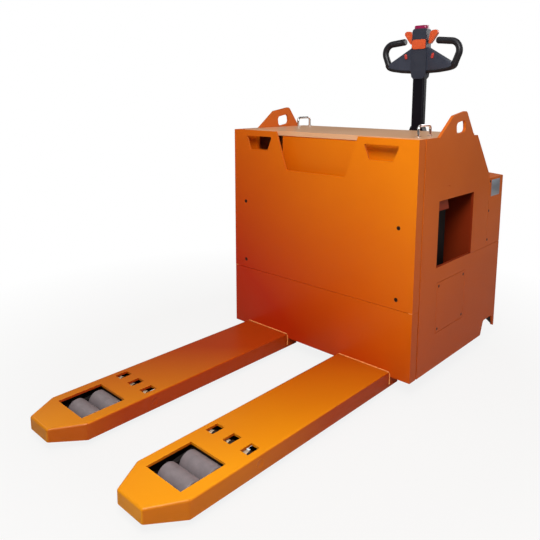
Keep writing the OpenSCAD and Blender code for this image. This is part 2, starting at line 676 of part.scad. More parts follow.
// The lever's plate and the two arms are joined by a cross bar ahead of the shaft
arm_dir = ([bogie_y, bogie_z] - [shaft_y, shaft_z]) / arm_l;
cross_bar = [shaft_y, shaft_z] + arm_dir * 60;
module roller_arm() translate([fork_x, 0, 0]) difference() {
    union() {
        for (s = [-1, 1]) {
            slab_x(s * arm_x - (s < 0 ? arm_t : 0), s * arm_x + (s > 0 ? arm_t : 0))
                link([shaft_y, shaft_z], arm_hub_r, [bogie_y, bogie_z], 14);
            rod_x(s * arm_x - (s > 0 ? arm_t : past), s * arm_x + (s > 0 ? past : arm_t), bogie_y, bogie_z, stub_r);
        }
        rod_x(-arm_x - past, arm_x + past, cross_bar[0], cross_bar[1], 9);
        slab_x(-eye_w / 2, eye_w / 2) union() {
            link([shaft_y, shaft_z], arm_hub_r, [lever_y, lever_z], eye_r);
            link([shaft_y, shaft_z], arm_hub_r, cross_bar, 9);
        }
    }
    rod_x(-arm_x - arm_t - past, arm_x + arm_t + past, shaft_y, shaft_z, shaft_d / 2 + run_gap);
    slab_x(-eye_w, eye_w) slot_eye([lever_y, lever_z],
        ([lever_y, lever_z] - [shaft_y, shaft_z]) / lever_l, lever_slot, pin_r + lever_play);
}
module roller_arm_right() at_face() color("dimgray") roller_arm();
module roller_arm_left() at_face() color("dimgray") left_side() roller_arm();

module bogie() translate([fork_x, bogie_y, bogie_z]) difference() {
    union() {
        for (s = [-1, 1]) {
            slab_x(s * (roller_l / 2 + plate_gap) - (s < 0 ? bogie_t : 0),
                s * (roller_l / 2 + plate_gap) + (s > 0 ? bogie_t : 0))
                link([-roller_pitch / 2, 0], 16, [roller_pitch / 2, 0], 16);
            rod_x(-roller_l / 2 - plate_gap - past, roller_l / 2 + plate_gap + past,
                s * roller_pitch / 2, 0, axle_d / 2);
        }
    }
    rod_x(-roller_l, roller_l, 0, 0, stub_r + run_gap);
}
module bogie_right() at_face() color("saddlebrown") bogie();
module bogie_left() at_face() color("saddlebrown") left_side() bogie();

module roller(x, side) translate([x, bogie_y + side * roller_pitch / 2, bogie_z]) rotate([0, 90, 0])
    rotate_extrude() polygon([
        [axle_d / 2 + run_gap, -roller_l / 2], [roller_d / 2 - 8, -roller_l / 2],
        [roller_d / 2 - 8, -roller_l / 2 + 2], [roller_d / 2 - 3, -roller_l / 2 + 2],
        [roller_d / 2, -roller_l / 2 + 5], [roller_d / 2, roller_l / 2 - 5],
        [roller_d / 2 - 3, roller_l / 2 - 2], [roller_d / 2 - 8, roller_l / 2 - 2],
        [roller_d / 2 - 8, roller_l / 2], [axle_d / 2 + run_gap, roller_l / 2]]);
module front_roller_right() at_face() color("gray") roller(fork_x, -1);
module rear_roller_right() at_face() color("gray") roller(fork_x, 1);
module front_roller_left() at_face() color("gray") roller(-fork_x, -1);
module rear_roller_left() at_face() color("gray") roller(-fork_x, 1);

/* ---- drive unit ---- */
drive_z = drive_d / 2;
gear_x = [drive_w / 2 + 5, drive_w / 2 + 55];
stub_axle_r = 25;
flange_z = drive_deck_z - ring_h - 2;
motor_top = 600;
turret_z = [motor_top + 40, 785];
module drive_gearbox() at_face() color("dimgray") union() {
    rod_z(flange_z, drive_deck_z, 0, steer_y, turn_r);
    slab_x(gear_x[0], gear_x[1]) translate([steer_y, 0]) union() {
        translate([0, drive_z]) circle(r = 72);
        polygon([[-60, drive_z], [60, drive_z], [60, flange_z + past], [-60, flange_z + past]]);
    }
    rod_x(-drive_w / 2, gear_x[0] + past, steer_y, drive_z, stub_axle_r);
}
module drive_motor() at_face() color("black") union() {
    rod_z(drive_deck_z, motor_top, 0, steer_y, motor_d / 2);
    rod_z(motor_top, turret_z[0], 0, steer_y, motor_d / 2 - 15);
}
hub_r = drive_d / 2 - 22;
module drive_hub() at_face() color("silver") difference() {
    rod_x(-drive_w / 2 + 3, drive_w / 2 - 3, steer_y, drive_z, hub_r);
    rod_x(-drive_w, drive_w, steer_y, drive_z, stub_axle_r + run_gap);
    for (s = [-1, 1]) rod_x(s > 0 ? drive_w / 2 - 12 : -drive_w / 2 - past,
        s > 0 ? drive_w : -drive_w / 2 + 12, steer_y, drive_z, hub_r - 14);
}
module drive_tyre() at_face() color("firebrick") translate([0, steer_y, drive_z]) rotate([0, 90, 0])
    rotate_extrude($fn = 96) polygon([[hub_r, -drive_w / 2 + 3], [drive_d / 2 - 5, -drive_w / 2],
        [drive_d / 2, -drive_w / 2 + 6], [drive_d / 2, drive_w / 2 - 6],
        [drive_d / 2 - 5, drive_w / 2], [hub_r, drive_w / 2 - 3]]);

yoke_t = 13;
foot_x = tube_w / 2 + 10;
cheek_x = foot_x + slack + 0.6;
yoke_floor = 800;
turret_r = 48;
module steering_turret() at_face() color("dimgray") union() {
    rod_z(turret_z[0], turret_z[1] + past, 0, steer_y, turret_r);
    slab_z(turret_z[1], yoke_floor) union() {
        translate([0, steer_y]) circle(r = turret_r);
        translate([-cheek_x - yoke_t, steer_y]) square([2 * (cheek_x + yoke_t), tiller_y + 26 - steer_y]);
    }
    for (s = [-1, 1]) slab_x(s > 0 ? cheek_x : -cheek_x - yoke_t, s > 0 ? cheek_x + yoke_t : -cheek_x) union() {
        translate([tiller_y, tiller_z]) circle(r = 22);
        translate([tiller_y - 26, yoke_floor - past]) square([52, tiller_z - yoke_floor + past]);
    }
    rod_x(-cheek_x - past, cheek_x + past, tiller_y, tiller_z, tiller_pin_d / 2);
}

/* ---- tiller ---- */
foot_r = tube_d / 2 + 3;
foot_top = 965;
tube_wall = 4;
module tube_section(inset) translate([0, tiller_y]) let(w = tube_w / 2 - inset, d = tube_d / 2 - inset)
    polygon(rounded([[-w, -d], [w, -d], [w, d], [-w, d]], [8 - inset, 8 - inset, 8 - inset, 8 - inset]));
module tiller_tube() at_face() color([0.08, 0.08, 0.1]) difference() {
    union() {
        rod_x(-foot_x, foot_x, tiller_y, tiller_z, foot_r);
        block([-foot_x, tiller_y - foot_r, tiller_z], [foot_x, tiller_y + foot_r, foot_top - 25]);
        slab_y(tiller_y - tube_d / 2 - 1, tiller_y + tube_d / 2 + 1) polygon([[-foot_x, foot_top - 26],
            [foot_x, foot_top - 26], [tube_w / 2, foot_top], [-tube_w / 2, foot_top]]);
        slab_z(foot_top - past, head_z + tower_base) tube_section(0);
    }
    slab_z(foot_top - past, head_z + tower_base + past) tube_section(tube_wall);
    rod_x(-foot_x - past, foot_x + past, tiller_y, tiller_z, tiller_pin_d / 2 + run_gap);
}

tower_w = 82;
tower_h = 238;
tower_base = 30;
tower_y = [tiller_y - 23, tiller_y + 23];
wing_y = [tiller_y - 17, tiller_y + 17];
head_top = head_z + tower_h;
grip_path = [[84, 181], [202, 169], [198, 118], [178, 68]];
grip_bend = [0, 44, 44, 0];
grip_end = grip_path[3];
grip_dir = (grip_path[3] - grip_path[2]) / norm(grip_path[3] - grip_path[2]);
grip_side = [-grip_dir[1], grip_dir[0]];
wing_half = [[tower_w / 2 - 1, 12], [64, 16], [140, 26], [184, 42], grip_end + grip_side * grip_d / 2,
    grip_end - grip_side * grip_d / 2, [140, 92], [tower_w / 2 - 1, 150]];
horn_box = [[-36, 142], [36, 187]];
rocker_at = [72, 108];
rocker_size = [13, 26];
rocker_tilt = 12;
lever_pivot = 178;
lever_pin_r = 5;
lever_pin_x = [20, 46];
pocket = 9;
cap_sink = 24;
module tiller_head() at_face() color([0.2, 0.22, 0.3]) translate([0, 0, head_z]) difference() {
    union() {
        slab_y(wing_y[0], wing_y[1]) polygon(mirrored(wing_half));
        slab_y(tower_y[0], tower_y[1]) polygon(rounded([[-tower_w / 2 + 5, 0], [tower_w / 2 - 5, 0],
            [tower_w / 2, tower_base], [tower_w / 2, tower_h - 50], [tower_w / 2 - 4, tower_h],
            [-tower_w / 2 + 4, tower_h], [-tower_w / 2, tower_h - 50], [-tower_w / 2, tower_base]],
            [8, 8, 0, 0, 4, 4, 0, 0]));
    }
    slab_z(-past, tower_base) tube_section(0);
    block([horn_box[0][0] - slack, tower_y[0] - past, horn_box[0][1] - slack],
        [horn_box[1][0] + slack, tower_y[0] + pocket, horn_box[1][1] + slack]);
    block([-belly_x - slack, tiller_y - belly_y - slack, tower_h - cap_sink],
        [belly_x + slack, tiller_y + belly_y + slack, tower_h + past]);
    for (s = [-1, 1]) {
        rod_x(s > 0 ? lever_pin_x[0] - 2 : -tower_w / 2 - 1, s > 0 ? tower_w / 2 + 1 : 2 - lever_pin_x[0],
            tiller_y, lever_pivot, lever_pin_r + run_gap);
        translate([s * rocker_at[0], 0, rocker_at[1]]) rotate([0, s * rocker_tilt, 0])
            block([-rocker_size[0] / 2 - slack, wing_y[0] - past, -rocker_size[1] / 2 - slack],
                [rocker_size[0] / 2 + slack, wing_y[0] + pocket, rocker_size[1] / 2 + slack]);
    }
}
// A round bar along a path of [x, z] points, as rings joined into one closed skin
module bent_bar(p, r, sides = 16) {
    m = len(p);
    tangent = [for (i = [0:m - 1]) let(t = p[min(i + 1, m - 1)] - p[max(i - 1, 0)]) t / norm(t)];
    rings = [for (i = [0:m - 1]) for (k = [0:sides - 1]) let(a = 360 * k / sides)
        [p[i][0] - tangent[i][1] * r * cos(a), r * sin(a), p[i][1] + tangent[i][0] * r * cos(a)]];
    skin = [for (i = [0:m - 2]) for (k = [0:sides - 1]) let(n = (k + 1) % sides)
        [i * sides + k, i * sides + n, (i + 1) * sides + n, (i + 1) * sides + k]];
    caps = [[for (k = [sides - 1:-1:0]) k], [for (k = [0:sides - 1]) (m - 1) * sides + k]];
    polyhedron(rings, concat(skin, caps));
}
grip_route = concat([grip_path[0]], corner(grip_path[0], grip_path[1], grip_path[2], grip_bend[1], 7),
    corner(grip_path[1], grip_path[2], grip_path[3], grip_bend[2], 7), [grip_path[3]]);
module tiller_grips() at_face() color([0.06, 0.06, 0.07]) both_sides()
    translate([0, tiller_y, head_z]) bent_bar(grip_route, grip_d / 2);

belly_x = 33;
belly_y = 18;
module belly_button() at_face() color([0.75, 0.1, 0.3]) translate([0, tiller_y, head_top]) union() {
    block([-belly_x, -belly_y, -12], [belly_x, belly_y, 10]);
    slab_y(-belly_y, belly_y) polygon([[-belly_x, 10], [belly_x, 10], [belly_x - 6, 16], [-belly_x + 6, 16]]);
}
module horn_button() at_face() color("orangered") translate([0, 0, head_z])
    block([horn_box[0][0], tower_y[0] - 4, horn_box[0][1]], [horn_box[1][0], tower_y[0] + 5, horn_box[1][1]]);
lever_blade = rounded([[tower_w / 2 + 1, 166], [54, 168], [92, 226], [80, 237], [58, 235],
    [tower_w / 2 + 1, 194]], [0, 4, 6, 6, 10, 0]);
module thumb_lever() union() {
    slab_y(tiller_y - 8, tiller_y + 8) translate([slack, head_z]) polygon(lever_blade);
    rod_x(lever_pin_x[0], lever_pin_x[1], tiller_y, head_z + lever_pivot, lever_pin_r);
}
module thumb_lever_right() at_face() color("coral") thumb_lever();
module thumb_lever_left() at_face() color("coral") left_side() thumb_lever();
module rocker() translate([rocker_at[0], 0, head_z + rocker_at[1]]) rotate([0, rocker_tilt, 0])
    block([-rocker_size[0] / 2, wing_y[0] - 4, -rocker_size[1] / 2], [rocker_size[0] / 2, wing_y[0] + 5,
        rocker_size[1] / 2]);
module lift_button() at_face() color("indianred") rocker();
module lower_button() at_face() color("indianred") left_side() rocker();

/* ---- casters ---- */
trail = 30;
caster_w = 36;
caster_leg_t = 6;
caster_axle_r = 6;
module caster_fork(x) translate([x, caster_y, 0]) union() {
    rod_z(118, caster_plate_z + caster_plate_t, 0, 0, caster_stem_r);
    rod_z(118, caster_plate_z - slack, 0, 0, 30);
    block([-caster_w / 2 - 2 - caster_leg_t, -25, 108], [caster_w / 2 + 2 + caster_leg_t, trail + 12, 119]);
    for (s = [-1, 1]) slab_x(s > 0 ? caster_w / 2 + 2 : -caster_w / 2 - 2 - caster_leg_t,
        s > 0 ? caster_w / 2 + 2 + caster_leg_t : -caster_w / 2 - 2)
        polygon([[-14, 109], [trail + 12, 109], [trail + 12, caster_d / 2 - 12], [trail - 12, caster_d / 2 - 12]]);
    rod_x(-caster_w / 2 - 3, caster_w / 2 + 3, trail, caster_d / 2, caster_axle_r);
}
module caster_fork_right() at_face() color("silver") caster_fork(caster_x);
module caster_fork_left() at_face() color("silver") caster_fork(-caster_x);
module caster_wheel(x) translate([x, caster_y + trail, caster_d / 2]) rotate([0, 90, 0])
    rotate_extrude() polygon([[caster_axle_r + run_gap, -caster_w / 2], [caster_d / 2 - 4, -caster_w / 2],
        [caster_d / 2, -caster_w / 2 + 4], [caster_d / 2, caster_w / 2 - 4],
        [caster_d / 2 - 4, caster_w / 2], [caster_axle_r + run_gap, caster_w / 2]]);
module caster_wheel_right() at_face() color("dimgray") caster_wheel(caster_x);
module caster_wheel_left() at_face() color("dimgray") caster_wheel(-caster_x);

side_plate_right();
side_plate_left();
chassis_frame();
upper_bulkhead();
access_cover_right();
access_cover_left();
cover_screws();
lid_hinges();
battery_pack();
rear_hood();
rear_skirt();
blank_plate();
turntable_ring();
hydraulic_tank();
pump_motor();
lift_cylinder();
motor_controller();
instrument_panel();
battery_gauge();
battery_lid();
lid_handles();
fork_right();
fork_left();
load_plate();
lift_mast();
load_panel();
load_panel_screws();
lift_rod();
arm_shafts();
torsion_shaft();
pull_rod_right();
pull_rod_left();
roller_arm_right();
roller_arm_left();
bogie_right();
bogie_left();
front_roller_right();
rear_roller_right();
front_roller_left();
rear_roller_left();
drive_gearbox();
drive_motor();
steering_turret();
drive_hub();
drive_tyre();
tiller_tube();
tiller_head();
tiller_grips();
belly_button();
horn_button();
thumb_lever_right();
thumb_lever_left();
lift_button();
lower_button();
caster_fork_right();
caster_fork_left();
caster_wheel_right();
caster_wheel_left();
emergency_stop();
key_switch();
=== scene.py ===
# %% [markdown]
# # An electric pallet truck
# The exact shapes and the joints come from the truck's CAD frame. This notebook adds what
# the frame leaves out: rounded edges, paint, rubber and steel, welds, screw heads, cooling
# ribs and a studio. Every piece is made in metres, where the CAD says that it is, and then
# rides on the CAD body that it belongs to.

import json
import math

import bmesh
import bpy
from mathutils import Matrix, Vector

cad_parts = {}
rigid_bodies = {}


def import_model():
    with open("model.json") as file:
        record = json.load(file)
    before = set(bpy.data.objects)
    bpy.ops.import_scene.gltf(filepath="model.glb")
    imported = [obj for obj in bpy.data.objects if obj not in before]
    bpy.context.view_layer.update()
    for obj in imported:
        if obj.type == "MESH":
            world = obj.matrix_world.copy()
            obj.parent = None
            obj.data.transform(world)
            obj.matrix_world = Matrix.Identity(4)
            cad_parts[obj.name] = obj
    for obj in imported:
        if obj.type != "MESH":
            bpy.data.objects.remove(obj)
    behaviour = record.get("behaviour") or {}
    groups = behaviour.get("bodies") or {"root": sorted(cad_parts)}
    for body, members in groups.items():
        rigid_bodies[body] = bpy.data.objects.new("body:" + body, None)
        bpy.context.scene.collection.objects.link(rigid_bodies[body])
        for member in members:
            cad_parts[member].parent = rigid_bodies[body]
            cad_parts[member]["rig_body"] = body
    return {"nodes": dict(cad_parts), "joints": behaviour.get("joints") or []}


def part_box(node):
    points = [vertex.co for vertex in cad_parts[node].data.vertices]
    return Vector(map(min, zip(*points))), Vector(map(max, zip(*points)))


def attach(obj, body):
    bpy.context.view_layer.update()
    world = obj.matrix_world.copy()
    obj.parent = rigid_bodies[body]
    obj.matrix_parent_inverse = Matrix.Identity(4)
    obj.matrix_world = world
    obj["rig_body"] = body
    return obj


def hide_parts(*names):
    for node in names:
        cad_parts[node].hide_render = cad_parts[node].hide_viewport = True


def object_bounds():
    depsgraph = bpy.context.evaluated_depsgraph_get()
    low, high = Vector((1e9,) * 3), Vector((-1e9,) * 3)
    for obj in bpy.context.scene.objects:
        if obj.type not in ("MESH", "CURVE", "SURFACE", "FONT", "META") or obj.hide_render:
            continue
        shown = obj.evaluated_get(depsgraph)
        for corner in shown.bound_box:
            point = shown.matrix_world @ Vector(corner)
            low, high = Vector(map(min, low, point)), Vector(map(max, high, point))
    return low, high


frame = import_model()
cad_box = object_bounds()
scene = bpy.context.scene
nodes = frame["nodes"]
body_of_node = {name: node["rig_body"] for name, node in nodes.items()}

# %% [markdown]
# ## Working in the truck's own measures
# The CAD was drawn in millimetres from the load face, the upright face behind the forks.
# `at` turns such a place into the frame's metres, so a size can be checked against a
# drawing at a glance.

# %% Millimetres from the load face
MM = 0.001
FACE_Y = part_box("load_panel")[0].y


def at(x, y, z):
    """A place in mm: x from the middle, y back from the load face, z above the floor."""
    return Vector((x * MM, y * MM + FACE_Y, z * MM))


def box_mm(node):
    """The box of a CAD node in the same measures as at()."""
    low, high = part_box(node)
    shift = Vector((0, FACE_Y, 0))
    return (low - shift) / MM, (high - shift) / MM


print("load face at y =", round(FACE_Y, 3), "m; deck at", round(box_mm("battery_lid")[1].z), "mm")

# %% [markdown]
# ## Nodes without the typing
# Shader trees and geometry trees are built the same way: add a node, set its options, feed
# its sockets. A value given as a socket becomes a link, and any other value is typed in.

# %% Node helper
def put(tree, kind, feeds=None, **options):
    """Adds one node. feeds maps an input's name or number to a value or to a socket."""
    made = tree.nodes.new(kind)
    for option, value in options.items():
        setattr(made, option, value)
    for key, value in (feeds or {}).items():
        if isinstance(value, bpy.types.NodeSocket):
            tree.links.new(value, made.inputs[key])
        else:
            made.inputs[key].default_value = value
    return made


# %% [markdown]
# ## Finishes
# Nearly every finish on a machine is one colour that is not quite even: a broad patchiness,
# a fine grain that breaks up the gloss, and a very low relief. One function makes all of
# them from Object coordinates, which are metres on the piece, so a scale of 400 means a
# grain of about 2.5 mm. What is the same all over, such as a coat, is set on the shader.

# %% One function for most finishes
def finish(name, main, other, rough, spread=0.06, patch=3.0, grain=400.0, relief=0.12,
           depth=0.0003, stretch=(1, 1, 1), **shader):
    """A material whose colour drifts between main and other, with a grain in its gloss."""
    material = bpy.data.materials.new(name)
    material.use_nodes = True
    tree = material.node_tree
    surface = tree.nodes["Principled BSDF"]
    for socket, value in shader.items():
        surface.inputs[socket.replace("_", " ")].default_value = value
    place = put(tree, "ShaderNodeTexCoord").outputs["Object"]
    place = put(tree, "ShaderNodeMapping", {"Vector": place, "Scale": stretch}).outputs[0]
    clouds = put(tree, "ShaderNodeTexNoise", {"Vector": place, "Scale": patch, "Detail": 4.0})
    fine = put(tree, "ShaderNodeTexNoise", {"Vector": place, "Scale": grain, "Detail": 2.0})
    drift = put(tree, "ShaderNodeMapRange", {"Value": clouds.outputs["Fac"],
                                             "From Min": 0.32, "From Max": 0.68})
    blend = put(tree, "ShaderNodeMix", {"Factor": drift.outputs[0], 6: (*main, 1),
                                        7: (*other, 1)}, data_type="RGBA")
    gloss = put(tree, "ShaderNodeMapRange", {"Value": fine.outputs["Fac"],
                                             "To Min": max(rough - spread, 0.02),
                                             "To Max": min(rough + spread, 1)})
    bump = put(tree, "ShaderNodeBump", {"Height": fine.outputs["Fac"], "Strength": relief,
                                        "Distance": depth})
    tree.links.new(blend.outputs[2], surface.inputs["Base Color"])
    tree.links.new(gloss.outputs[0], surface.inputs["Roughness"])
    tree.links.new(bump.outputs[0], surface.inputs["Normal"])
    return material


# %% [markdown]
# ## Orange paint
# The body is powder coated in orange. Here that orange comes as lit and shaded copies: a
# yellower one for the forks, one for the load face, and darker, redder ones for the sides,
# the rear body and the insides; these differences are painted light and shade. A darker colour
# is also faded in along a line through the truck, towards the floor and the far corner, and on the
# forks also on the long sides: painted shade. A little dust gathers low down.

# %% Painted shade along a line, and dust
def blend_in(material, share, colour):
    """Mixes a colour over the base colour that a material already has."""
    tree = material.node_tree
    base = tree.nodes["Principled BSDF"].inputs["Base Color"]
    mixed = put(tree, "ShaderNodeMix", {"Factor": share, 6: base.links[0].from_socket,
                                        7: (*colour, 1)}, data_type="RGBA")
    tree.links.new(mixed.outputs[2], base)
    return material


def fade_to(material, colour, slope, start, flank_shade=0.0):
    """Fades to a colour where start - slope . place rises from 0 to 1, in metres; flank_shade adds
    more of it on faces turned along X. Here it paints shade.
    """
    tree = material.node_tree
    place = put(tree, "ShaderNodeTexCoord").outputs["Object"]
    along = put(tree, "ShaderNodeVectorMath", {0: place, 1: slope}, operation="DOT_PRODUCT")
    share = put(tree, "ShaderNodeMath", {0: start, 1: along.outputs["Value"]},
                operation="SUBTRACT", use_clamp=True).outputs[0]
    # More of the colour on faces turned along X: painted shade on the flanks.
    if flank_shade:
        normal = put(tree, "ShaderNodeNewGeometry").outputs["Normal"]
        across = put(tree, "ShaderNodeSeparateXYZ", {"Vector": normal}).outputs["X"]
        steep = put(tree, "ShaderNodeMath", {0: across}, operation="ABSOLUTE").outputs[0]
        extra = put(tree, "ShaderNodeMapRange", {"Value": steep, "From Min": 0.3, "From Max": 0.9,
                                                 "To Max": flank_shade}).outputs[0]
        share = put(tree, "ShaderNodeMath", {0: share, 1: extra}, operation="ADD",
                    use_clamp=True).outputs[0]
    return blend_in(material, share, colour)


def add_dust(material, colour, top, amount):
    """Dust that fades out at the height top, in metres, and is broken up by noise."""
    tree = material.node_tree
    place = put(tree, "ShaderNodeTexCoord").outputs["Object"]
    height = put(tree, "ShaderNodeSeparateXYZ", {"Vector": place}).outputs["Z"]
    cloud = put(tree, "ShaderNodeTexNoise", {"Vector": place, "Scale": 9.0, "Detail": 6.0,
                                             "Roughness": 0.65})
    near = put(tree, "ShaderNodeMapRange", {"Value": height, "From Min": top, "From Max": 0.0})
    mask = put(tree, "ShaderNodeMath", {0: near.outputs[0], 1: cloud.outputs["Fac"]},
               operation="MULTIPLY")
    share = put(tree, "ShaderNodeMath", {0: mask.outputs[0], 1: amount}, operation="MULTIPLY")
    return blend_in(material, share.outputs[0], colour)


DUST = (0.20, 0.07, 0.02)
paint_settings = dict(rough=0.34, spread=0.06, patch=2.2, grain=260.0, relief=0.08,
                      depth=0.0004, Coat_Weight=0.08, Coat_Roughness=0.2,
                      Specular_IOR_Level=0.2)
# The paints below are lit and shaded copies of one orange, and each fades to a darker, redder
# colour: painted shade towards the lower left and the bottom, the far fork, the fork roots and the
# fork flanks.
face_paint = fade_to(finish("face_paint", (0.86, 0.235, 0.003), (0.82, 0.205, 0.003),
                            **paint_settings), (0.56, 0.026, 0.001), (0.62, 0, 0.86), 1.03)
fork_paint = fade_to(finish("fork_paint", (0.90, 0.335, 0.004), (0.86, 0.295, 0.004),
                            **{**paint_settings, "rough": 0.4}), (0.44, 0.046, 0.002),
                     (0.85, -0.92, 0), 0.95, flank_shade=0.6)
shaded_side_paint = fade_to(finish("shaded_side_paint", (0.66, 0.135, 0.010), (0.60, 0.115, 0.009),
                            **{**paint_settings, "rough": 0.42}), (0.56, 0.075, 0.006),
                     (0, 0, 1.4), 1.1)
shaded_inner_paint = fade_to(finish("shaded_inner_paint", (0.34, 0.035, 0.003), (0.26, 0.026, 0.003),
                             **{**paint_settings, "rough": 0.5}), (0.20, 0.014, 0.002),
                      (0, 0, 1.2), 1.0)
for paint, top, amount in ((face_paint, 0.30, 0.2), (fork_paint, 0.08, 0.2),
                           (shaded_side_paint, 0.45, 0.3), (shaded_inner_paint, 0.6, 0.3)):
    add_dust(paint, DUST, top, amount)
# The lid's orange is its own colour; it is made pale here as a painted reflection of the pale
# surround on the glossy deck.
lid_paint = finish("lid_paint", (0.84, 0.49, 0.29), (0.78, 0.40, 0.19), 0.34, grain=220.0,
                   Coat_Weight=0.25, Coat_Roughness=0.2)
weld_paint = finish("weld_paint", (0.92, 0.40, 0.12), (0.84, 0.26, 0.05), 0.4, patch=60.0)
# Black for the fork channels, linkage and dark corners is painted shade, where shade falls.
painted_shade_black = finish("painted_shade_black", (0.006, 0.004, 0.004), (0.012, 0.007, 0.006), 0.7,
                       patch=20.0, grain=300.0)
print("paints:", [m.name for m in bpy.data.materials])

# %% [markdown]
# ## Metals, plastics and rubber
# Brushed and turned metals get their look from a grain that is stretched along one axis.
# Rubber and moulded plastic get a coarser, deeper grain and almost no gloss.

# %% The other finishes
screw_steel = finish("screw_steel", (0.045, 0.035, 0.03), (0.09, 0.06, 0.05), 0.42, patch=90.0,
                     Metallic=1.0)
zinc_steel = finish("zinc_steel", (0.62, 0.63, 0.65), (0.50, 0.52, 0.55), 0.34, patch=45.0,
                    grain=700.0, Metallic=1.0)
chrome = finish("chrome", (0.86, 0.86, 0.87), (0.78, 0.78, 0.80), 0.08, spread=0.05,
                patch=20.0, grain=300.0, relief=0.03, Metallic=1.0)
worn_brass = finish("worn_brass", (0.86, 0.74, 0.54), (0.62, 0.50, 0.34), 0.42, patch=55.0,
                    grain=900.0, stretch=(1, 6, 6), Metallic=0.35)
dark_steel = finish("dark_steel", (0.10, 0.095, 0.09), (0.055, 0.05, 0.05), 0.42, patch=30.0,
                    grain=500.0, Metallic=1.0)
plate_alloy = finish("plate_alloy", (0.46, 0.52, 0.62), (0.38, 0.43, 0.52), 0.36, patch=18.0,
                     grain=900.0, stretch=(1, 1, 14), Metallic=0.75)
fin_alloy = finish("fin_alloy", (0.62, 0.62, 0.64), (0.52, 0.52, 0.55), 0.4, patch=25.0,
                   grain=700.0, Metallic=1.0)
cast_black = finish("cast_black", (0.035, 0.036, 0.04), (0.06, 0.058, 0.055), 0.55,
                    spread=0.12, patch=25.0, grain=320.0, relief=0.5, depth=0.0006)
tube_enamel = finish("tube_enamel", (0.0035, 0.0035, 0.008), (0.006, 0.006, 0.012), 0.42,
                     spread=0.05, grain=500.0, relief=0.06, Specular_IOR_Level=0.22)
black_plastic = finish("black_plastic", (0.012, 0.012, 0.014), (0.022, 0.022, 0.024), 0.5,
                       patch=20.0, grain=1300.0, relief=0.25)
battery_case = finish("battery_case", (0.006, 0.006, 0.007), (0.010, 0.010, 0.011), 0.6,
                      patch=12.0, grain=900.0, relief=0.25, Specular_IOR_Level=0.2)
head_plastic = finish("head_plastic", (0.030, 0.036, 0.058), (0.040, 0.047, 0.070), 0.42,
                      spread=0.05, patch=16.0, grain=1500.0, relief=0.3, depth=0.0002)
wing_plastic = finish("wing_plastic", (0.034, 0.042, 0.068), (0.050, 0.060, 0.092), 0.46,
                      spread=0.05, patch=16.0, grain=1500.0, relief=0.3, depth=0.0002)
grip_rubber = finish("grip_rubber", (0.008, 0.008, 0.012), (0.016, 0.016, 0.022), 0.4,
                     spread=0.08, patch=14.0, grain=800.0, relief=0.3, depth=0.0003)
crimson_plastic = finish("crimson_plastic", (0.40, 0.012, 0.10), (0.33, 0.010, 0.08), 0.22,
                         patch=20.0, grain=900.0, relief=0.05, Coat_Weight=0.5)
orange_plastic = finish("orange_plastic", (0.86, 0.13, 0.035), (0.80, 0.11, 0.03), 0.26,
                        patch=20.0, grain=900.0, relief=0.06, Coat_Weight=0.4)
red_plastic = finish("red_plastic", (0.62, 0.06, 0.045), (0.54, 0.05, 0.04), 0.28,
                     patch=20.0, grain=900.0, relief=0.05, Coat_Weight=0.3)
yellow_plastic = finish("yellow_plastic", (0.80, 0.52, 0.03), (0.74, 0.46, 0.03), 0.35,
                        patch=20.0, grain=900.0)
roller_pu = finish("roller_pu", (0.245, 0.205, 0.215), (0.20, 0.168, 0.178), 0.52, spread=0.1,
                   patch=40.0, grain=900.0, relief=0.3, depth=0.0004)
roller_core = finish("roller_core", (0.17, 0.022, 0.014), (0.11, 0.015, 0.010), 0.4,
                     patch=40.0, grain=500.0)
drive_pu = finish("drive_pu", (0.20, 0.035, 0.018), (0.14, 0.025, 0.014), 0.5, patch=18.0,
                  grain=600.0, relief=0.3, depth=0.0005)
caster_rubber = finish("caster_rubber", (0.05, 0.05, 0.055), (0.075, 0.073, 0.072), 0.6,
                       patch=30.0, grain=700.0, relief=0.3, depth=0.0004)
dial_glass = finish("dial_glass", (0.012, 0.016, 0.018), (0.018, 0.022, 0.026), 0.08,
                    spread=0.03, Coat_Weight=1.0, Coat_Roughness=0.03)
lamp_green = finish("lamp_green", (0.10, 0.55, 0.16), (0.08, 0.45, 0.12), 0.3, patch=40.0)
print("finishes made:", len(bpy.data.materials))

# %% [markdown]
# ## From mesh to finished piece
# Three small steps end every piece. `shade` smooths the curved faces and keeps real edges
# sharp. `piece` puts the mesh in the scene, on its body and with its finish, and hides the
# CAD node that it replaces, if any. `baked` turns live modifiers into a plain mesh first.

# %% Ending a piece
def shade(mesh, angle=36):
    """Smooth shading that breaks at edges sharper than angle, in degrees."""
    mesh.polygons.foreach_set("use_smooth", [True] * len(mesh.polygons))
    mesh.set_sharp_from_angle(angle=math.radians(angle))
    return mesh


def piece(name, mesh, node, material=None, replace=True):
    """A finished mesh that rides where the CAD node rides, and stands for it if replace."""
    made = bpy.data.objects.new(name, mesh)
    scene.collection.objects.link(made)
    if material:
        mesh.materials.clear()
        mesh.materials.append(material)
    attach(made, body_of_node[node])
    if replace:
        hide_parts(node)
    return made


def baked(mesh, modifiers):
    """The mesh after a list of (kind, options) modifiers, as a plain mesh."""
    holder = bpy.data.objects.new("holder", mesh)
    scene.collection.objects.link(holder)
    for kind, options in modifiers:
        added = holder.modifiers.new(kind.title(), kind)
        for option, value in options.items():
            setattr(added, option, value)
    graph = bpy.context.evaluated_depsgraph_get()
    result = bpy.data.meshes.new_from_object(holder.evaluated_get(graph))
    bpy.data.objects.remove(holder)
    return result


# %% [markdown]
# ## Rounded edges on plate
# No cut or folded plate has a perfectly sharp edge: the small round catches a thin line of
# light, and that line is what tells the eye that it is thick painted steel. A CAD node comes
# as loose triangles, so its copy is merged, flat regions become single faces, and a bevel
# is run along every edge that turns by more than 40 degrees.

